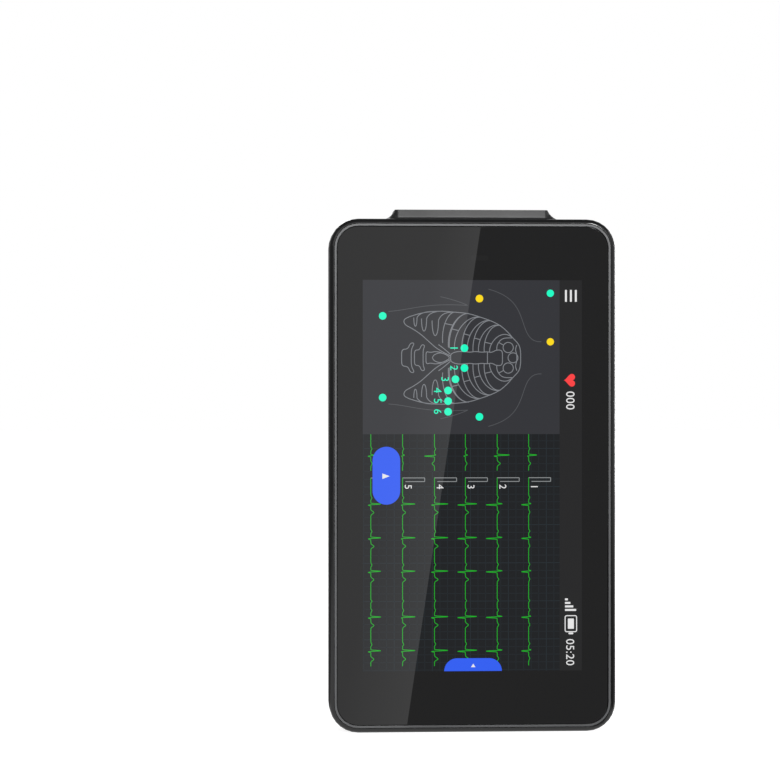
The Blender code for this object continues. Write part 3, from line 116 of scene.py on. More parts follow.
def makePiece(name, shapes, material, body, smooth=True):
    # one mesh from joined shapes, with one material, which rides on a body
    points, faces = joinShapes(shapes)
    mesh = bpy.data.meshes.new(name)
    mesh.from_pydata(points, [], faces)
    mesh.update()
    mesh.polygons.foreach_set("use_smooth", np.full(len(mesh.polygons), smooth))
    mesh.materials.append(material)
    piece = bpy.data.objects.new(name, mesh)
    bpy.context.scene.collection.objects.link(piece)
    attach(piece, body)
    return piece


welding = {"within": 2e-6, "flatAngle": 0.4, "sharpAngle": 34}       # metres, then degrees


def weldedCopy(node, name, material, body="monitor"):
    # a CAD node is loose triangles: its copy is welded, its flat triangles joined, and its
    # edges kept sharp above an angle, and then it stands for the node
    mesh = nodes[node].data.copy()
    mesh.name = name
    work = bmesh.new()
    work.from_mesh(mesh)
    bmesh.ops.remove_doubles(work, verts=work.verts, dist=welding["within"])
    bmesh.ops.dissolve_limit(work, angle_limit=math.radians(welding["flatAngle"]), verts=work.verts,
                             edges=work.edges)
    work.to_mesh(mesh)
    work.free()
    mesh.polygons.foreach_set("use_smooth", np.ones(len(mesh.polygons), bool))
    mesh.set_sharp_from_angle(angle=math.radians(welding["sharpAngle"]))
    mesh.materials.clear()
    mesh.materials.append(material)
    piece = bpy.data.objects.new(name, mesh)
    bpy.context.scene.collection.objects.link(piece)
    even = piece.modifiers.new("evenNormals", "WEIGHTED_NORMAL")
    even.keep_sharp = True
    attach(piece, body)
    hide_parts(node)


# ---- camera: level, a little to the left of the screen's middle, on a long lens
cameraView = {
    "lens": 120.6, "sensorWidth": 36,       # mm
    "place": (-0.0724, -0.8222, 0.1065),
    "turn": -3.275,       # degrees, from straight along +Y
    "clipStart": 0.01,
}
cameraData = bpy.data.cameras.new("camera")
cameraData.lens = cameraView["lens"]
cameraData.sensor_width = cameraView["sensorWidth"]
cameraData.clip_start = cameraView["clipStart"]
camera = bpy.data.objects.new("camera", cameraData)
camera.location = cameraView["place"]
camera.rotation_euler = (math.radians(90), 0, math.radians(cameraView["turn"]))
bpy.context.scene.collection.objects.link(camera)
bpy.context.scene.camera = camera
print("camera made")


# ---- stage: white all round, a plain floor, soft lamps, and grey cards that the gloss mirrors
stageLight = {
    "worldLevel": 0.35,       # what the sky gives to matt surfaces
    "floorGlow": 0.90,        # of white, for the camera alone; the rest is lamp light, so a shadow stays
    "lamps": [
        # name, place, aim, width, height, watts
        ("keyLamp", (0.14, -1.15, 0.52), (0, 0, 0.09), 0.34, 0.24, 9.0),
        ("rearLamp", (0.75, 0.93, 0.30), (0, 0, 0.08), 0.14, 0.56, 4.2),
        ("backLamp", (-0.30, 1.00, 0.80), (0, 0, 0.09), 0.40, 0.30, 2.5),
    ],
    "floorReach": 6.0, "floorZ": -0.00004, "floorColour": "#b8b8b8",
}
bpy.context.scene.view_settings.view_transform = "Standard"


def seenDirectly(tree):
    # 1 where the camera, a mirror or clear glass sees it, and 0 where it only lights things
    path = addNode(tree, "ShaderNodeLightPath")
    seen = addNode(tree, "ShaderNodeMath", {"operation": "MAXIMUM"},
                   {0: (path, "Is Camera Ray"), 1: (path, "Is Glossy Ray")})
    seen = addNode(tree, "ShaderNodeMath", {"operation": "MAXIMUM"},
                   {0: (seen, 0), 1: (path, "Is Transmission Ray")})
    return path, seen


world = bpy.data.worlds.new("studio")
bpy.context.scene.world = world
tree = emptyTree(world)
path, seen = seenDirectly(tree)
level = addNode(tree, "ShaderNodeMapRange", {},
                {"Value": (seen, 0), "To Min": stageLight["worldLevel"], "To Max": 1.0})
sky = addNode(tree, "ShaderNodeBackground", {}, {"Color": (1, 1, 1, 1), "Strength": (level, 0)})
addNode(tree, "ShaderNodeOutputWorld", {}, {"Surface": (sky, 0)})

# the floor is matt and lit, with a glow that only the camera sees; gloss mirrors it as plain white
floorMaterial = bpy.data.materials.new("mattFloor")
tree = emptyTree(floorMaterial)
path, seen = seenDirectly(tree)
glowLevel = addNode(tree, "ShaderNodeMath", {"operation": "MULTIPLY"},
                    {0: (seen, 0), 1: stageLight["floorGlow"]})
glow = addNode(tree, "ShaderNodeEmission", {}, {"Strength": (glowLevel, 0)})
matt = addNode(tree, "ShaderNodeBsdfDiffuse", {}, {"Color": linearColour(stageLight["floorColour"])})
both = addNode(tree, "ShaderNodeAddShader", {}, {0: (glow, 0), 1: (matt, 0)})
plainWhite = addNode(tree, "ShaderNodeEmission", {}, {"Strength": 1.0})
forGloss = addNode(tree, "ShaderNodeMixShader", {},
                   {0: (path, "Is Glossy Ray"), 1: (both, 0), 2: (plainWhite, 0)})
addNode(tree, "ShaderNodeOutputMaterial", {}, {"Surface": (forGloss, 0)})


def stageQuad(name, corners, material):
    # a flat four-sided card, its corners given in order
    mesh = bpy.data.meshes.new(name)
    mesh.from_pydata(corners, [], [(0, 1, 2, 3)])
    mesh.materials.append(material)
    card = bpy.data.objects.new(name, mesh)
    bpy.context.scene.collection.objects.link(card)
    return card


def upright(x0, y0, x1, y1, height):
    # corners of a standing card, from the floor up and down again
    return [(x0, y0, 0.0), (x0, y0, height), (x1, y1, height), (x1, y1, 0.0)]


def lying(x0, y0, x1, y1, z):
    # corners of a level card
    return [(x0, y0, z), (x1, y0, z), (x1, y1, z), (x0, y1, z)]


reach = stageLight["floorReach"]
stageQuad("floor", lying(-reach, -reach, reach, reach, stageLight["floorZ"]), floorMaterial)

for lampName, place, aim, width, height, watts in stageLight["lamps"]:
    lampData = bpy.data.lights.new(lampName, "AREA")
    lampData.shape = "RECTANGLE"
    lampData.size = width
    lampData.size_y = height
    lampData.energy = watts
    lamp = bpy.data.objects.new(lampName, lampData)
    lamp.location = place
    lamp.rotation_euler = (Vector(aim) - Vector(place)).to_track_quat("-Z", "Y").to_euler()
    bpy.context.scene.collection.objects.link(lamp)


def cardMaterial(name, levels):
    # a grey that runs evenly from one level to another; a level is a share of white
    material = bpy.data.materials.new(name)
    tree = emptyTree(material)
    along = addNode(tree, "ShaderNodeAttribute", {"attribute_name": "along"})
    level = addNode(tree, "ShaderNodeMapRange", {},
                    {"Value": (along, "Fac"), "To Min": levels[0], "To Max": levels[1]})
    glow = addNode(tree, "ShaderNodeEmission", {}, {"Strength": (level, 0)})
    addNode(tree, "ShaderNodeOutputMaterial", {}, {"Surface": (glow, 0)})
    return material


# The glass mirrors a slanting grey card that rises from the floor in front of it, and a lighter
# one to its left. The line between them lies in the plane through the camera's mirror image and
# the slanting line on the glass.
mirrorLine = {
    "glassY": -0.00985,
    "upper": (0.0024, 0.1576),    # x, z on the glass
    "lower": (-0.0206, 0.0024),
    "foot": (-0.0125, 0.0001),    # y, z of the card's lower and upper edge
    "head": (-1.2, 0.75),
    "leftOnGlass": -0.0428, "rightOnGlass": 0.0427, "topOnGlass": 0.16,
    "levels": {"greyCard": (0.40, 0.40), "lightCard": (0.92, 1.22)},
}


def edgeX(cornerA, cornerB, y, z):
    # x where the plane through the mirrored camera and two points of the glass passes (y, z)
    eye = np.array(cameraView["place"], float)
    eye[1] = 2 * mirrorLine["glassY"] - eye[1]
    a = np.array((cornerA[0], mirrorLine["glassY"], cornerA[1])) - eye
    b = np.array((cornerB[0], mirrorLine["glassY"], cornerB[1])) - eye
    n = np.cross(a, b)
    return eye[0] - (n[1] * (y - eye[1]) + n[2] * (z - eye[2])) / n[0]


def stageCard(name, corners, levels):
    # a card that only gloss can see; its level runs from its first and last corner to the two between
    card = stageQuad(name, corners, cardMaterial(name, levels))
    card.data.attributes.new("along", "FLOAT", "POINT").data.foreach_set("value", (0.0, 1.0, 1.0, 0.0))
    card.visible_camera = False
    card.visible_diffuse = False
    card.visible_shadow = False


foot, head = mirrorLine["foot"], mirrorLine["head"]
left, right = [((x, 0.0), (x, mirrorLine["topOnGlass"]))
               for x in (mirrorLine["leftOnGlass"], mirrorLine["rightOnGlass"])]
line = (mirrorLine["upper"], mirrorLine["lower"])
for name, near, far in (("greyCard", line, right), ("lightCard", left, line)):
    stageCard(name, [(edgeX(*near, *foot), *foot), (edgeX(*far, *foot), *foot),
                     (edgeX(*far, *head), *head), (edgeX(*near, *head), *head)],
              mirrorLine["levels"][name])

# darker cards above, beside and behind, which give the black plastic its gradients
roomCards = {
    # of each card its corners, and the levels that its grey runs between
    "ceilingCard": (lying(-1.2, -0.9, 1.2, 1.0, 1.0), (0.15, 0.15)),
    "leftCard": (upright(-0.55, -0.80, -0.55, 0.30, 0.7), (0.22, 0.22)),
    "leftBackCard": (upright(-0.55, 0.30, -0.25, 0.98, 0.50), (0.05, 0.9)),
    "backCard": (upright(-0.25, 0.98, 0.02, 1.60, 0.32), (0.15, 0.15)),
    "backFloorCard": (lying(-1.2, 0.02, 0.3, 1.6, 0.0004), (0.10, 0.10)),
    "rightCard": (upright(0.42, -1.00, 0.95, -0.35, 0.7), (0.55, 0.55)),
    "rightFloorCard": (lying(0.06, -1.2, 1.2, -0.02, 0.0004), (0.10, 0.10)),
}
for name, (corners, levels) in roomCards.items():
    stageCard(name, corners, levels)
print("stage made")


# ---- materials
def mouldedPlastic(name, look):
    # moulded thermoplastic: two close shades of one colour, a spark-eroded grain from the mould,
    # and a sheen that is a little uneven where it has been handled
    material, tree, shader, place = startMaterial(name)
    patches = addNode(tree, "ShaderNodeTexNoise", {},
                      {"Vector": (place, "Object"), "Scale": 1 / look["patch"], "Detail": 3.0})
    shades = twoShades(tree, (patches, 0), look["colour"], look["colourWorn"])
    sheen = addNode(tree, "ShaderNodeMapRange", {},
                    {"Value": (patches, 0), "From Min": 0.3, "From Max": 0.7,
                     "To Min": look["roughness"] - 0.04, "To Max": look["roughness"] + 0.04})
    grain = addNode(tree, "ShaderNodeTexNoise", {},
                    {"Vector": (place, "Object"), "Scale": 1 / look["grain"], "Detail": 2.0})
    corner = addNode(tree, "ShaderNodeBevel", {"samples": 6}, {"Radius": look["edge"]})
    bump = addNode(tree, "ShaderNodeBump", {}, {"Height": (grain, 0), "Strength": look["bump"],
                                                "Distance": look["grain"] * 0.1, "Normal": (corner, 0)})
    tree.links.new(shades.outputs[2], shader.inputs["Base Color"])
    tree.links.new(sheen.outputs[0], shader.inputs["Roughness"])
    tree.links.new(bump.outputs[0], shader.inputs["Normal"])
    shader.inputs["IOR"].default_value = look["ior"]
    return material


blackAbs = mouldedPlastic("blackMouldedAbs", {
    "colour": "#1b1b1c", "colourWorn": "#202021", "patch": 14 * mm, "roughness": 0.42,
    "grain": 0.35 * mm, "bump": 0.25, "edge": 0.12 * mm, "ior": 1.52})
bezelAbs = mouldedPlastic("satinBezelAbs", {
    "colour": "#101011", "colourWorn": "#141415", "patch": 18 * mm, "roughness": 0.17,
    "grain": 0.30 * mm, "bump": 0.04, "edge": 0.10 * mm, "ior": 1.52})
keyAbs = mouldedPlastic("satinKeyAbs", {
    "colour": "#222223", "colourWorn": "#2b2b2c", "patch": 5 * mm, "roughness": 0.34,
    "grain": 0.25 * mm, "bump": 0.15, "edge": 0.25 * mm, "ior": 1.52})
# the trim ring's light grey is partly its own colour and partly a painted highlight, standing in for the
# gleam along the screen's edge
trimGreyAndPaintedHighlight = mouldedPlastic("greyTrimAndPaintedHighlight", {
    "colour": "#555657", "colourWorn": "#5f6062", "patch": 9 * mm, "roughness": 0.38,
    "grain": 0.25 * mm, "bump": 0.05, "edge": 0.08 * mm, "ior": 1.5})
glassNylon = mouldedPlastic("glassFilledNylon", {
    "colour": "#1d1e1f", "colourWorn": "#27282a", "patch": 3 * mm, "roughness": 0.50,
    "grain": 0.20 * mm, "bump": 0.30, "edge": 0.08 * mm, "ior": 1.53})
sealRubber = mouldedPlastic("mouldedSiliconeRubber", {
    "colour": "#19191a", "colourWorn": "#222223", "patch": 6 * mm, "roughness": 0.62,
    "grain": 0.25 * mm, "bump": 0.20, "edge": 0.10 * mm, "ior": 1.43})
cellWrap = mouldedPlastic("shrunkPetWrap", {
    "colour": "#2c4a66", "colourWorn": "#35587a", "patch": 20 * mm, "roughness": 0.28,
    "grain": 1.20 * mm, "bump": 0.20, "edge": 0.30 * mm, "ior": 1.57})
cellFoam = mouldedPlastic("openPolyurethaneFoam", {
    "colour": "#5c5e60", "colourWorn": "#6c6e70", "patch": 4 * mm, "roughness": 0.88,
    "grain": 0.60 * mm, "bump": 0.80, "edge": 0.30 * mm, "ior": 1.45})
discInk = mouldedPlastic("screenPrintedInk", {
    "colour": "#00568f", "colourWorn": "#005084", "patch": 3 * mm, "roughness": 0.42,
    "grain": 0.30 * mm, "bump": 0.15, "edge": 0.02 * mm, "ior": 1.49})


def plainMetal(name, look):
    # bare or plated metal: fine marks from tumbling or casting, the same every way, with dull
    # patches where it has been handled
    material, tree, shader, place = startMaterial(name)
    marks = addNode(tree, "ShaderNodeTexNoise", {},
                    {"Vector": (place, "Object"), "Scale": 1 / look["mark"], "Detail": 3.0})
    patches = addNode(tree, "ShaderNodeTexNoise", {},
                      {"Vector": (place, "Object"), "Scale": 1 / look["patch"]})
    shades = twoShades(tree, (patches, 0), look["colour"], look["colourDull"])
    gloss = addNode(tree, "ShaderNodeMapRange", {},
                    {"Value": (marks, 0), "From Min": 0.3, "From Max": 0.7,
                     "To Min": look["roughness"] - 0.06, "To Max": look["roughness"] + 0.08})
    corner = addNode(tree, "ShaderNodeBevel", {"samples": 4}, {"Radius": look["edge"]})
    bump = addNode(tree, "ShaderNodeBump", {}, {"Height": (marks, 0), "Strength": look["bump"],
                                                "Distance": look["mark"] * 0.1, "Normal": (corner, 0)})
    tree.links.new(shades.outputs[2], shader.inputs["Base Color"])
    tree.links.new(gloss.outputs[0], shader.inputs["Roughness"])
    tree.links.new(bump.outputs[0], shader.inputs["Normal"])
    shader.inputs["Metallic"].default_value = 1.0
    return material


nickelSteel = plainMetal("nickelPlatedSteel", {
    "colour": "#bdbbb6", "colourDull": "#a3a19c", "mark": 0.30 * mm,
    "patch": 5 * mm, "roughness": 0.27, "bump": 0.10, "edge": 0.12 * mm})
contactGold = plainMetal("goldPlatedContacts", {
    "colour": "#d9a94e", "colourDull": "#b98a3a", "mark": 0.15 * mm,
    "patch": 1 * mm, "roughness": 0.25, "bump": 0.05, "edge": 0.03 * mm})
blackSteel = plainMetal("blackZincSteel", {
    "colour": "#3a3a3b", "colourDull": "#4b4b4c", "mark": 0.12 * mm,
    "patch": 0.8 * mm, "roughness": 0.40, "bump": 0.20, "edge": 0.06 * mm})
dieCastMagnesium = plainMetal("dieCastMagnesium", {
    "colour": "#8e908f", "colourDull": "#777978", "mark": 0.45 * mm,
    "patch": 12 * mm, "roughness": 0.55, "bump": 0.35, "edge": 0.20 * mm})


def printedGlass(name, look):
    # float glass, black printed from behind and polished: a mirror-smooth face with faint smears
    # where it was wiped, longer upwards than across
    material, tree, shader, place = startMaterial(name)
    smears = addNode(tree, "ShaderNodeMapping", {}, {"Vector": (place, "Object"), "Scale": (60, 60, 14)})
    wiped = addNode(tree, "ShaderNodeTexNoise", {}, {"Vector": (smears, 0), "Scale": 1.0, "Detail": 4.0})
    gloss = addNode(tree, "ShaderNodeMapRange", {},
                    {"Value": (wiped, 0), "From Min": 0.35, "From Max": 0.75,
                     "To Min": look["roughness"], "To Max": look["roughness"] + look["smear"]})
    shades = twoShades(tree, (wiped, 0), look["colour"], look["colourSmear"])
    tree.links.new(shades.outputs[2], shader.inputs["Base Color"])
    tree.links.new(gloss.outputs[0], shader.inputs["Roughness"])
    shader.inputs["IOR"].default_value = look["ior"]
    return material


coverGlass = printedGlass("blackPrintedFloatGlass", {
    "colour": "#050506", "colourSmear": "#070708", "roughness": 0.004, "smear": 0.012, "ior": 1.5})
smokedWindow = printedGlass("smokedAcrylicWindow", {
    "colour": "#0a0b0d", "colourSmear": "#101114", "roughness": 0.10, "smear": 0.05, "ior": 1.49})
lensGlass = printedGlass("coatedLensGlass", {
    "colour": "#0b1420", "colourSmear": "#10101c", "roughness": 0.02, "smear": 0.02, "ior": 1.7})


def boardLaminate(name, look):
    # glass-cloth or film laminate under a mask: copper tracks show as lighter lines 0.5 mm apart,
    # drawn from the joints of a brick pattern
    material, tree, shader, place = startMaterial(name)
    cells = addNode(tree, "ShaderNodeTexBrick", {"offset": 0.5},
                    {"Vector": (place, "Object"), "Scale": 1.0, "Mortar Size": look["track"] * 0.35,
                     "Brick Width": look["track"] * 5, "Row Height": look["track"] * 2,
                     "Color1": linearColour(look["mask"]), "Color2": linearColour(look["maskDark"]),
                     "Mortar": linearColour(look["copper"])})
    weave = addNode(tree, "ShaderNodeTexNoise", {}, {"Vector": (place, "Object"), "Scale": 1 / (0.4 * mm)})
    gloss = addNode(tree, "ShaderNodeMapRange", {}, {"Value": (weave, 0), "To Min": 0.25, "To Max": 0.45})
    bump = addNode(tree, "ShaderNodeBump", {},
                   {"Height": (cells, "Fac"), "Strength": 0.3, "Distance": 0.03 * mm})
    tree.links.new(cells.outputs["Color"], shader.inputs["Base Color"])
    tree.links.new(gloss.outputs[0], shader.inputs["Roughness"])
    tree.links.new(bump.outputs[0], shader.inputs["Normal"])
    shader.inputs["IOR"].default_value = 1.55
    return material


greenLaminate = boardLaminate("greenSolderMaskBoard", {
    "mask": "#14502c", "maskDark": "#114526", "copper": "#2c7a45", "track": 0.25 * mm})
amberFilm = boardLaminate("amberPolyimideFlex", {
    "mask": "#a8641c", "maskDark": "#9a5a18", "copper": "#c98a3c", "track": 0.25 * mm})
print("materials made")

# ---- CAD nodes: every one gets its finish by the record's slot
finishes = {
    "black_abs": blackAbs, "dark_abs": keyAbs, "trim_grey": trimGreyAndPaintedHighlight, "black_glass": coverGlass,
    "smoked_window": smokedWindow, "black_rubber": sealRubber, "nickel_steel": nickelSteel,
    "black_steel": blackSteel, "magnesium": dieCastMagnesium, "green_laminate": greenLaminate,
    "amber_polyimide": amberFilm, "black_nylon": glassNylon, "cell_wrap": cellWrap, "grey_foam": cellFoam,
}
slotOf = {}
for name, node in nodes.items():
    slotOf[name] = node.material_slots[0].material.name.split(".")[0]
    for place in node.material_slots:
        place.material = finishes[slotOf[name]]

# ---- shells and small parts that show, welded from the CAD
weldedCopy("front_bezel", "bezel_shell", bezelAbs)
weldedCopy("rear_housing", "housing_shell", blackAbs)
weldedCopy("rear_cover", "cover_shell", blackAbs)
weldedCopy("display_trim", "trim_ring", trimGreyAndPaintedHighlight)
for node, body in (("power_key", "power_button"), ("volume_rocker", "volume_button"),
                   ("record_key", "record_button")):
    weldedCopy(node, node + "_cap", keyAbs, body=body)
for node in ("cover_glass", "camera_window", "lead_socket_shell", "lead_socket_insulator",
             "lead_socket_jack_1", "lead_socket_jack_2", "charging_port_shell", "charging_port_tongue",
             "rear_cover_screw_1", "rear_cover_screw_2", "rear_cover_screw_3", "rear_cover_screw_4"):
    weldedCopy(node, node + "_smooth", finishes[slotOf[node]])
print("shells made")


# ---- camera lens, socket contacts and the printed disc on the back
def turnedShape(profile, centre, axis, steps):
    # (radius, height) points carried round an axis: centre + radius (cos a, sin a) across it,
    # and height along it
    profile = np.asarray(profile, float)
    a = np.linspace(0, 2 * np.pi, steps, endpoint=False)
    ring = np.stack([profile[:, :1] * np.cos(a), profile[:, :1] * np.sin(a),
                     np.repeat(profile[:, 1:], steps, 1)], -1).reshape(-1, 3)
    order = {"y": (0, 2, 1), "z": (0, 1, 2)}[axis]
    return ring[:, order] + np.asarray(centre, float), [gridQuads(len(profile), steps, closed=True)]


def closeUp(piece):
    # doubled points at poles and seams become one, and the faces turn outward
    work = bmesh.new()
    work.from_mesh(piece.data)
    bmesh.ops.remove_doubles(work, verts=work.verts, dist=1e-7)
    bmesh.ops.recalc_face_normals(work, faces=work.faces)
    work.to_mesh(piece.data)
    work.free()


lensStack = {
    "x": 3.1 * mm, "z": 149.5 * mm, "seat": 9.66 * mm,
    "ringOuter": 2.9 * mm, "ringInner": 1.9 * mm, "ringRise": 0.16 * mm, "round": 0.05 * mm,
    "glassRise": 0.14 * mm, "glassRadius": 1.88 * mm,
}
s = lensStack
centre = (s["x"], s["seat"], s["z"])
turn = np.linspace(0, np.pi / 2, 5)
# the ring's edges are quarter circles: off by round (1 - cos) across and round (1 - sin) in height
far, near = s["round"] * (1 - np.cos(turn)), s["round"] * (1 - np.sin(turn))
outer = np.stack([s["ringOuter"] - far, s["ringRise"] - near], 1)
inner = np.stack([s["ringInner"] + near, s["ringRise"] - far], 1)
ringProfile = np.concatenate([[(s["ringInner"], 0.0), (s["ringOuter"], 0.0)], outer, inner,
                              [(s["ringInner"], 0.0)]])
closeUp(makePiece("camera_lens_ring", [turnedShape(ringProfile, centre, "y", 56)], blackSteel, "monitor"))
bow = np.linspace(0, 1, 12)
domeProfile = np.stack([s["glassRadius"] * (1 - bow), s["glassRise"] * (1 - (1 - bow) ** 2)], 1)
domeProfile = np.concatenate([[(0.0, 0.0)], domeProfile[:1] * (1, 0), domeProfile])
closeUp(makePiece("camera_lens", [turnedShape(domeProfile, centre, "y", 48)], lensGlass, "monitor"))

socket = {
    "y": 1.4 * mm, "pitch": 2.77 * mm, "rowOffset": 1.42 * mm, "faceZ": 162.3 * mm,
    "sink": 0.35 * mm, "length": 2.2 * mm, "outer": 0.52 * mm, "inner": 0.33 * mm, "lip": 0.07 * mm,
}
s = socket
sleeveProfile = [(s["outer"], -s["sink"] - s["length"]), (s["outer"], -s["sink"] - s["lip"]),
                 (s["outer"] - s["lip"], -s["sink"]), (s["inner"] + s["lip"], -s["sink"]),
                 (s["inner"], -s["sink"] - s["lip"]), (s["inner"], -s["sink"] - s["length"]),
                 (s["outer"], -s["sink"] - s["length"])]
places = [((k - 3.5) * s["pitch"], s["y"] + s["rowOffset"]) for k in range(8)]
places += [((k - 3) * s["pitch"], s["y"] - s["rowOffset"]) for k in range(7)]
closeUp(makePiece("lead_socket_contacts",
                  [turnedShape(sleeveProfile, (x, y, s["faceZ"]), "z", 16) for x, y in places],
                  contactGold, "monitor"))


def padShape(x, z0, z1, half, y, rise):
    # a long pad with round ends: its outline is repeated, each time higher, then drawn in to
    # its middle line
    a = np.linspace(0, 2 * np.pi, 16, endpoint=False)
    rings = []
    for reach, lift in ((1.0, 0.0), (1.0, 0.6), (0.7, 1.0), (0.0, 1.0)):
        end = np.where(np.sin(a) >= 0, z1 - half, z0 + half)
        rings.append(np.stack([x + half * reach * np.cos(a), np.full(16, y + rise * lift),
                               end + half * reach * np.sin(a)], 1))
    return np.concatenate(rings), [gridQuads(4, 16, closed=True)]


tonguePads = {
    "count": 12, "pitch": 0.5 * mm, "half": 0.12 * mm, "start": 0.5 * mm, "length": 3.4 * mm,
    "rise": 0.02 * mm,
}
s = tonguePads
low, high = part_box("charging_port_tongue")
pads = []
z0 = low.z + s["start"]
for k in range(s["count"]):
    x = (low.x + high.x) / 2 + (k - (s["count"] - 1) / 2) * s["pitch"]
    for y, side in ((low.y, -1), (high.y, 1)):
        pads.append(padShape(x, z0, z0 + s["length"], s["half"], y, side * s["rise"]))
closeUp(makePiece("charging_port_pads", pads, contactGold, "monitor"))

printedDisc = {"x": 1.8 * mm, "z": 73.3 * mm, "radius": 5.65 * mm, "back": 10.0 * mm, "ink": 0.02 * mm}
s = printedDisc
discProfile = [(0.0, 0.0), (s["radius"], 0.0), (s["radius"], s["ink"] * 0.6),
               (s["radius"] - s["ink"], s["ink"]), (s["radius"] * 0.66, s["ink"]),
               (s["radius"] * 0.33, s["ink"]), (0.0, s["ink"])]
closeUp(makePiece("printed_disc", [turnedShape(discProfile, (s["x"], s["back"], s["z"]), "y", 72)],
                  discInk, "monitor"))
print("small pieces made")

# ---- the lit screen: flat shapes a hair in front of the glass. s runs to the right and t down, in
# mm from the screen's upper left corner
screenArea = {
    "left": -34.4 * mm, "top": 140.9 * mm, "width": 68.5, "height": 121.8,
    "front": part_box("cover_glass")[0].y, "layer": 0.006 * mm,
}
screenColours = {
    # the display's colours glow; the sensor's colour is a painted glow
    "strip": "#171718", "panel": "#2a2b30", "chart": "#050a0f", "minorGrid": "#161f25",
    "majorGrid": "#1d2930", "trace": "#0cb01c", "pulse": "#8d9192", "icons": "#e9e9e9",
    "bones": "#808388", "body": "#505256", "good": "#06fec6", "loose": "#ffdc00",
    "heart": "#ff3f40", "button": "#2a5cf2", "sensor": "#0c0c0c",
}


def onGlass(points, layer):
    # x = left + s, z = top - t, y = a few hundredths of a millimetre in front of the glass
    p = np.asarray(points, float) * mm
    y = np.full(len(p), screenArea["front"] - (layer + 1) * screenArea["layer"])
    return np.stack([screenArea["left"] + p[:, 0], y, screenArea["top"] - p[:, 1]], 1)


def faceShape(outline, layer):
    # one flat face in an outline, turned to the eye by the sign of the outline's area
    p = np.asarray(outline, float)
    area = np.sum(p[:, 0] * np.roll(p[:, 1], -1) - p[:, 1] * np.roll(p[:, 0], -1))
    p = p[::-1] if area > 0 else p
    return onGlass(p, layer), [np.arange(len(p))[None, :]]


def ribbonShape(line, width, layer):
    # a line of even width: each of its points moved half a width to both sides along the normal
    p = np.asarray(line, float)
    step = np.gradient(p, axis=0)
    step /= np.linalg.norm(step, axis=1, keepdims=True)
    side = np.stack([-step[:, 1], step[:, 0]], 1) * width / 2
    return onGlass(np.stack([p - side, p + side], 1).reshape(-1, 2), layer), [gridQuads(len(p), 2)]


def disc(s, t, radius, steps=36):
    # centre + radius (cos a, sin a)
    a = np.linspace(0, 2 * np.pi, steps, endpoint=False)
    return np.stack([s + radius * np.cos(a), t + radius * np.sin(a)], 1)


def roundedBox(s0, t0, s1, t1, radii, steps):
    # a rectangle whose corners are quarter circles; radii go round from its lower right corner
    places = ((s1, t1, -1, -1), (s0, t1, 1, -1), (s0, t0, 1, 1), (s1, t0, -1, 1))
    turn = np.linspace(0, np.pi / 2, steps)
    arcs = []
    for quarter, ((s, t, sideS, sideT), r) in enumerate(zip(places, radii)):
        a = turn + quarter * np.pi / 2
        arcs.append(np.stack([s + sideS * r + r * np.cos(a), t + sideT * r + r * np.sin(a)], 1))
    return np.concatenate(arcs)


def curve(corners, steps=24):
    # a Bezier curve through its first and last corner
    t = np.linspace(0, 1, steps)[:, None]
    n = len(corners) - 1
    terms = [math.comb(n, k) * (1 - t) ** (n - k) * t ** k * np.asarray(c, float)
             for k, c in enumerate(corners)]
    return np.sum(terms, axis=0)


def figures(text, s, t, height, layer):
    # plain figures from Blender's own font; their x runs down the screen and their y to the right
    font = bpy.data.curves.new("figures", "FONT")
    font.body = text
    font.space_character = 1.05
    holder = bpy.data.objects.new("figures", font)
    bpy.context.scene.collection.objects.link(holder)
    mesh = bpy.data.meshes.new_from_object(holder.evaluated_get(bpy.context.evaluated_depsgraph_get()))
    flat = np.zeros(len(mesh.vertices) * 3)
    mesh.vertices.foreach_get("co", flat)
    flat = flat.reshape(-1, 3)
    size = height / flat[:, 1].max()
    faces = [np.array(p.vertices)[None, :] for p in mesh.polygons]
    bpy.data.objects.remove(holder)
    return onGlass(np.stack([s + flat[:, 1] * size, t + flat[:, 0] * size], 1), layer), faces


pixelLook = {
    "rowGap": 0.4 * mm, "waveRepeat": 0.314,      # a wave texture of scale 1 repeats each 0.314 m
    "cloud": 60.0, "dimmed": 0.86, "smudge": 0.012, "base": "#020203", "ior": 1.5,
}


def litScreen(name, colour):
    # a liquid crystal display behind glass: it glows in faint pixel rows and still mirrors the room;
    # real rows are 0.06 mm apart, drawn here 0.4 mm apart to show
    look = pixelLook
    material, tree, shader, place = startMaterial(name)
    rows = addNode(tree, "ShaderNodeTexWave", {"bands_direction": "Z"},
                   {"Vector": (place, "Object"), "Scale": look["waveRepeat"] / look["rowGap"],
                    "Distortion": 0.0})
    cloud = addNode(tree, "ShaderNodeTexNoise", {}, {"Vector": (place, "Object"), "Scale": look["cloud"]})
    blend = addNode(tree, "ShaderNodeMath", {"operation": "MULTIPLY"}, {0: (rows, 1), 1: (cloud, 0)})
    bright = linearColour(colour)
    shades = addNode(tree, "ShaderNodeMix", {"data_type": "RGBA"}, {"Factor": (blend, 0)})
    shades.inputs[6].default_value = bright
    shades.inputs[7].default_value = tuple(c * look["dimmed"] for c in bright[:3]) + (1.0,)
    smudge = addNode(tree, "ShaderNodeMapRange", {},
                     {"Value": (cloud, 0), "To Min": 0.0, "To Max": look["smudge"]})
    tree.links.new(shades.outputs[2], shader.inputs["Emission Color"])
    tree.links.new(smudge.outputs[0], shader.inputs["Roughness"])
    shader.inputs["Emission Strength"].default_value = 1.0
    shader.inputs["Base Color"].default_value = linearColour(look["base"])
    shader.inputs["IOR"].default_value = look["ior"]
    return material


lit = {name: litScreen(name + "Pixels", colour) for name, colour in screenColours.items()}


def showOnScreen(name, shapes, colour):
    makePiece(name, shapes, lit[colour], "monitor", smooth=False)


def box(s0, t0, s1, t1):
    # corners of a rectangle, from its upper left one round
    return [(s0, t0), (s1, t0), (s1, t1), (s0, t1)]


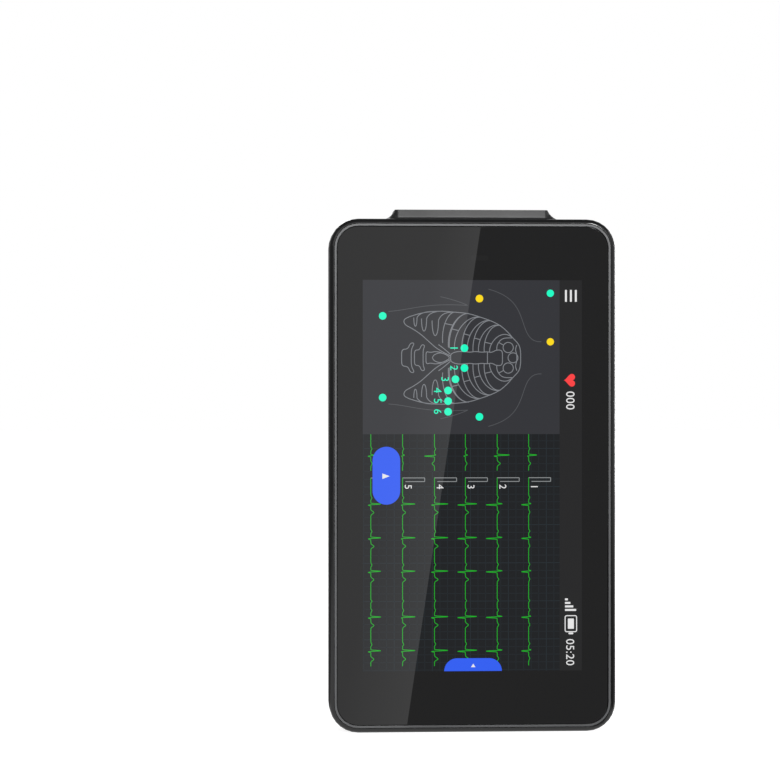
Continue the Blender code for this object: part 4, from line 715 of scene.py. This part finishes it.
wide, tall = screenArea["width"], screenArea["height"]
panelEnd, stripStart = 48.0, 61.5
showOnScreen("screen_panel", [faceShape(box(0, 0, stripStart, panelEnd), 0)], "panel")
showOnScreen("screen_chart", [faceShape(box(0, panelEnd, stripStart, tall), 0)], "chart")
showOnScreen("screen_strip", [faceShape(box(stripStart, 0, wide, tall), 0)], "strip")

# chart paper: a fine line at each 2.377 mm and a stronger one at each fifth
chartGrid = {"count": 31, "step": 2.377, "fromStrip": 1.79, "fromPanel": 2.10, "width": 0.16, "strong": 1}


def gridLines(strong):
    # lines across the chart both ways, the strong ones at each fifth
    g, lines = chartGrid, []
    for k in range(g["count"]):
        if (k % 5 == g["strong"]) == strong:
            s, t = stripStart - g["fromStrip"] - k * g["step"], panelEnd + g["fromPanel"] + k * g["step"]
            lines += [ribbonShape([(s, panelEnd), (s, tall)], g["width"], 1)] if s > 0 else []
            lines += [ribbonShape([(0, t), (stripStart, t)], g["width"], 1)] if t < tall else []
    return lines


showOnScreen("screen_grid_fine", gridLines(False), "minorGrid")
showOnScreen("screen_grid_strong", gridLines(True), "majorGrid")

# heart traces: a sum of bell curves for each beat, a small wave before the sharp one and a wider
# one after, with a faint sine ripple along the line
heartTraces = {
    "width": 0.21, "step": 0.05, "ripple": 0.015, "rippleTurns": 5.1,
    "beats": [54.6, 69.8, 80.3, 90.7, 104.9, 115.4],     # mm down the screen
    "gap": (59.4, 61.5), "start": panelEnd, "end": 120.2, "bump": (99.9, 0.35, 0.35),
    # the calibration pulse: down the screen its foot and its head, across its top and its foot
    "pulse": {"from": 61.6, "to": 62.75, "top": 6.9, "foot": 0.9, "width": 0.24},
    "number": {"across": 0.7, "down": 63.6, "height": 2.15},
    "leads": [
        # across, then right peak, left peak and last wave of a beat, and the same for the first beat
        (2.5, 3.2, -0.9, 0.95, 1.0, -0.9, 0.4),
        (12.4, 4.0, -0.5, 0.95, 0.6, -0.3, 0.2),
        (22.35, 4.3, -1.1, 1.10, 0.5, -3.2, -0.7),
        (32.0, 3.7, -2.6, 0.95, 0.7, -0.5, 0.5),
        (41.95, 1.7, -3.6, 0.45, 3.9, -1.1, 0.95),
        (51.8, 0.8, -2.3, 0.35, 2.6, -0.4, 0.6),
    ],
}


def bell(t, centre, width, height):
    # height exp(-((t - centre) / width)^2)
    return height * np.exp(-((t - centre) / width) ** 2)


def beatShape(t, beat, right, left, last):
    # how far to the right a beat moves the line at t down the screen
    first = bell(t, beat - 2.05, 0.45, 0.35)
    sharp = bell(t, beat - 0.08, 0.17, right) + bell(t, beat + 0.22, 0.17, left)
    return first + sharp + bell(t, beat + 2.55, 0.55, last)


traces, pulses, leadNumbers = [], [], []
h, pulse, label = heartTraces, heartTraces["pulse"], heartTraces["number"]
for number, (across, right, left, last, *firstBeat) in enumerate(h["leads"]):
    for low, high in ((h["start"], h["gap"][0]), (h["gap"][1], h["end"])):
        t = np.arange(low, high, h["step"])
        s = across + beatShape(t, h["beats"][0], *firstBeat)
        for beat in h["beats"][1:]:
            s = s + beatShape(t, beat, right, left, last)
        s = s + bell(t, *h["bump"]) + h["ripple"] * np.sin(t * h["rippleTurns"] + number)
        traces.append(ribbonShape(np.stack([s, t], 1), h["width"], 2))
    edge = [(across, pulse["from"]), (across + pulse["top"], pulse["from"]),
            (across + pulse["top"], pulse["to"]), (across + pulse["foot"], pulse["to"])]
    pulses += [ribbonShape(edge[k:k + 2], pulse["width"], 2) for k in range(3)]
    leadNumbers.append(figures(str(6 - number), across + label["across"], label["down"],
                               label["height"], 2))
showOnScreen("screen_traces", traces, "trace")
showOnScreen("screen_pulses", pulses, "pulse")

# rib cage, lying on its side and even to both sides: s runs from the loins to the neck, out is the
# distance from its middle line
ribCage = {
    "line": 0.25, "middle": 24.2,
    "outlineS": [14.6, 18.1, 21.6, 25.1, 28.8, 33.1, 36.9, 40.1, 43.1, 45.5, 46.7, 48.8, 49.3, 49.3],
    "outlineOut": [12.8, 13.9, 14.4, 14.5, 14.2, 13.8, 12.6, 11.5, 10.0, 7.8, 6.3, 4.2, 2.0, 0.0],
    "ribs": [
        # of each rib both lines: s and out at the breastbone, s at the outline; then out of its joint
        ((37.9, 1.75, 43.1), (39.6, 1.75, 46.7), 4.6),
        ((34.4, 1.75, 40.1), (36.1, 1.75, 43.1), 5.9),
        ((30.9, 1.90, 36.9), (32.6, 1.85, 40.1), 7.2),
        ((27.0, 3.00, 33.1), (28.6, 2.40, 36.9), 8.7),
        ((24.9, 4.60, 28.8), (26.7, 3.20, 33.1), 10.4),
    ],
    # of each finger between the lowest ribs: s, half its width, and out at its tip and its root
    "fingers": [(22.6, 1.0, 6.9, 11.6), (19.1, 0.8, 8.3, 12.2), (16.4, 0.5, 9.8, 12.5)],
    "rings": [(45.4, -3.2, 1.6), (45.4, 3.2, 1.6), (46.9, 0.0, 1.55)],      # s, out and radius
    "lines": [
        [(14.6, 12.8), (12.7, 11.9), (13.0, 10.3), (15.4, 9.1), (18.0, 7.4), (20.2, 5.4), (23.2, 2.7),
         (27.3, 0.6)],
        [(23.6, 4.1), (25.6, 2.6), (27.3, 1.1)],
        [(27.4, 0.0), (27.4, 1.2), (29.4, 2.0), (32.0, 1.9), (33.4, 1.7), (35.2, 2.0), (37.0, 1.7),
         (38.9, 1.9), (40.2, 1.6), (41.8, 2.5), (43.6, 2.3), (43.6, 0.0)],
        [(38.9, 1.8), (38.9, 0.0)],
        [(41.8, 2.5), (41.9, 4.2), (43.6, 6.2), (46.7, 6.2)],
        [(42.4, 4.8), (44.0, 3.9)],
        [(48.1, 4.0), (47.6, 2.6), (48.1, 1.0), (48.1, 0.0)],
        [(12.1, 0.0), (12.1, 2.6), (14.1, 2.7), (14.8, 4.6), (16.2, 4.6), (15.1, 2.7), (15.1, 0.0)],
        [(16.1, 0.0), (16.1, 2.4), (17.7, 2.4), (18.3, 4.1), (19.4, 3.9), (18.8, 2.4), (18.8, 0.0)],
        [(19.7, 0.0), (19.7, 2.0), (21.2, 1.6), (22.6, 2.0), (24.6, 1.6)],
        [(21.7, 0.0), (22.2, 1.0), (24.4, 1.7), (26.8, 0.5), (27.0, 0.0)],
    ],
}


def cutCorners(line, passes=3):
    # each pass puts two points in place of a corner, a quarter of the way along both its sides
    line = np.asarray(line, float)
    for _ in range(passes):
        a, b = line[:-1], line[1:]
        cut = np.stack([0.75 * a + 0.25 * b, 0.25 * a + 0.75 * b], 1).reshape(-1, 2)
        line = np.concatenate([line[:1], cut[1:-1], line[-1:]])
    return line


def ribLine(s0, out0, s1):
    # straight out from the breastbone, then bent towards the neck until it meets the outline
    out1, ahead = np.interp([s1, s1 - 1], ribCage["outlineS"], ribCage["outlineOut"])
    reach = 0.5 * (s1 - s0)
    return curve([(s0, out0), (s0 - 0.4, out0 + 0.6 * (out1 - out0)),
                  (s1 - reach, out1 + 0.7 * reach * (ahead - out1)), (s1, out1)])


halfLines = [cutCorners(list(zip(ribCage["outlineS"], ribCage["outlineOut"])), 2)]
halfLines += [cutCorners(line) for line in ribCage["lines"]]
for lower, upper, joint in ribCage["ribs"]:
    pair = [ribLine(*lower), ribLine(*upper)]
    # the joint is a short slanting line between the two, in the first half of each
    halfLines += pair + [np.array([(np.interp(joint + shift, line[:12, 1], line[:12, 0]), joint + shift)
                                   for line, shift in zip(pair, (0.25, -0.25))])]
for s, half, low, high in ribCage["fingers"]:
    # a Bezier curve whose two inner corners lie at dip reaches 3/4 of the way there, which is its tip
    dip = (low - 0.25 * high) / 0.75
    halfLines.append(curve([(s - half, high), (s - half, dip), (s + half, dip), (s + half, high)]))
    meet = float(np.interp(s + 6.0, ribCage["outlineS"], ribCage["outlineOut"]))
    halfLines.append(curve([(s + half, high), (s + half + 0.8, meet - 0.4), (s + 3.6, meet),
                            (s + 6.0, meet)]))
middle, bones = ribCage["middle"], []
for side in (-1, 1):
    bones += [ribbonShape(line * (1, side) + (0, middle), ribCage["line"], 1) for line in halfLines]
for s, out, radius in ribCage["rings"]:
    ring = disc(s, middle + out, radius)
    bones.append(ribbonShape(np.concatenate([ring, ring[:2]]), ribCage["line"], 1))
showOnScreen("screen_bones", bones, "bones")

# the outline of shoulder, flank and arm on both sides of the rib cage, as Bezier corners
bodyOutline = {
    "line": 0.2,
    "shoulder": [(55.8, 5.0), (48.5, 4.6), (51.4, 15.0), (47.8, 19.0), (39.2, 21.4)],
    "flank": [(8.0, 14.4), (15.0, 14.8), (19.0, 17.2), (32.8, 16.3)],
    "arm": [(24.2, 19.0), (29.0, 18.0), (32.8, 16.3)],
}
body = [ribbonShape(curve(bodyOutline[part]) * (1, side) + (0, middle), bodyOutline["line"], 1)
        for side in (-1, 1) for part in ("shoulder", "flank", "arm")]
showOnScreen("screen_body", body, "body")

# electrode dots, their numbers, and the two dots of the key
electrodes = {
    "radius": 1.19, "keyRadius": 1.14, "figures": 2.35,
    "good": [(6.2, 11.2), (6.2, 36.6), (36.4, 42.6), (31.7, 21.2), (31.7, 27.4), (28.9, 30.9),
             (26.6, 34.4), (26.6, 37.7), (26.6, 41.0)],
    "loose": [(36.4, 5.75)],
    "keyGood": (58.6, 4.06), "keyLoose": (58.6, 19.2),
}
goodDots = [faceShape(disc(s, t, electrodes["radius"]), 2) for s, t in electrodes["good"]]
goodDots.append(faceShape(disc(*electrodes["keyGood"], electrodes["keyRadius"]), 2))
goodDots += [figures(str(k + 1), s - 4.4, t - 0.9, electrodes["figures"], 2)
             for k, (s, t) in enumerate(electrodes["good"][3:])]
looseDots = [faceShape(disc(s, t, electrodes["radius"]), 2) for s, t in electrodes["loose"]]
looseDots.append(faceShape(disc(*electrodes["keyLoose"], electrodes["keyRadius"]), 2))
showOnScreen("screen_dots_good", goodDots, "good")
showOnScreen("screen_dots_loose", looseDots, "loose")

# light sensor behind the glass above the screen, painted as a faint glow just lighter than the print round
# it; the sensor itself gives no light
showOnScreen("screen_sensor", [faceShape(roundedBox(33.6, -7.7, 39.2, -6.1, [0.8] * 4, 8), 0)], "sensor")

# two buttons: a pill and a tab at the lower edge, each with a plain arrow
screenButtons = {
    # s and t of opposite corners, then the corners' radii
    "pill": (3.05, 51.9, 11.65, 69.9, [4.29] * 4),
    "tab": (25.4, 117.8, 43.4, tall, [0.01, 0.01, 3.99, 3.99]),
    "arrows": [[(6.1, 60.2), (6.1, 61.9), (8.4, 61.05)], [(33.75, 120.6), (35.15, 120.6), (34.45, 119.5)]],
}
showOnScreen("screen_buttons", [faceShape(roundedBox(*screenButtons[part], 16), 3)
                                for part in ("pill", "tab")], "button")

# status strip: menu bars, heart, figures, signal bars, battery and clock
statusStrip = {
    "heart": {"s": 64.9, "t": 31.2, "across": 0.122, "down": 0.124},
    "menuBars": {"s": (63.2, 64.75, 66.3), "t": (3.0, 6.7), "width": 0.6, "round": 0.1},
    "signalBars": {"s": 63.2, "width": 0.62, "round": 0.08,
                   "bars": ((99.3, 0.9), (100.4, 1.7), (101.5, 2.6), (102.6, 3.5))},      # t, length
    # s and t of opposite corners, then the corners' radii
    "charge": (64.1, 105.6, 66.0, 108.8, [0.15] * 4),
    "case": (63.25, 104.7, 66.85, 109.7, [0.5] * 4), "caseLine": 0.3,
    "cap": (64.3, 109.95, 65.8, 110.5, [0.2] * 4),
    # s, t and height
    "rate": (63.6, 34.6, 2.6), "clock": (63.6, 111.9, 2.5),
}
# the heart is 13 cos a - 5 cos 2a - 2 cos 3a - cos 4a to the right by 16 sin^3 a down
a = np.linspace(0, 2 * np.pi, 60, endpoint=False)
s = statusStrip["heart"]
lobes = 13 * np.cos(a) - 5 * np.cos(2 * a) - 2 * np.cos(3 * a) - np.cos(4 * a)
heart = np.stack([s["s"] + s["across"] * lobes, s["t"] + s["down"] * 16 * np.sin(a) ** 3], 1)
showOnScreen("screen_heart", [faceShape(heart, 2)], "heart")
s = statusStrip["menuBars"]
icons = [faceShape(roundedBox(left, s["t"][0], left + s["width"], s["t"][1], [s["round"]] * 4, 4), 2)
         for left in s["s"]]
s = statusStrip["signalBars"]
icons += [faceShape(roundedBox(s["s"], t, s["s"] + length, t + s["width"], [s["round"]] * 4, 4), 2)
          for t, length in s["bars"]]
s = statusStrip
icons.append(faceShape(roundedBox(*s["charge"], 4), 2))
icons += [faceShape(arrow, 4) for arrow in screenButtons["arrows"]]
case = roundedBox(*s["case"], 6)
icons += [ribbonShape(np.concatenate([case, case[:2]]), s["caseLine"], 2),
          faceShape(roundedBox(*s["cap"], 4), 2),
          figures("000", *s["rate"], 2), figures("05:20", *s["clock"], 2)]
showOnScreen("screen_icons", icons + leadNumbers, "icons")
print("screen made")

print("scene finished")
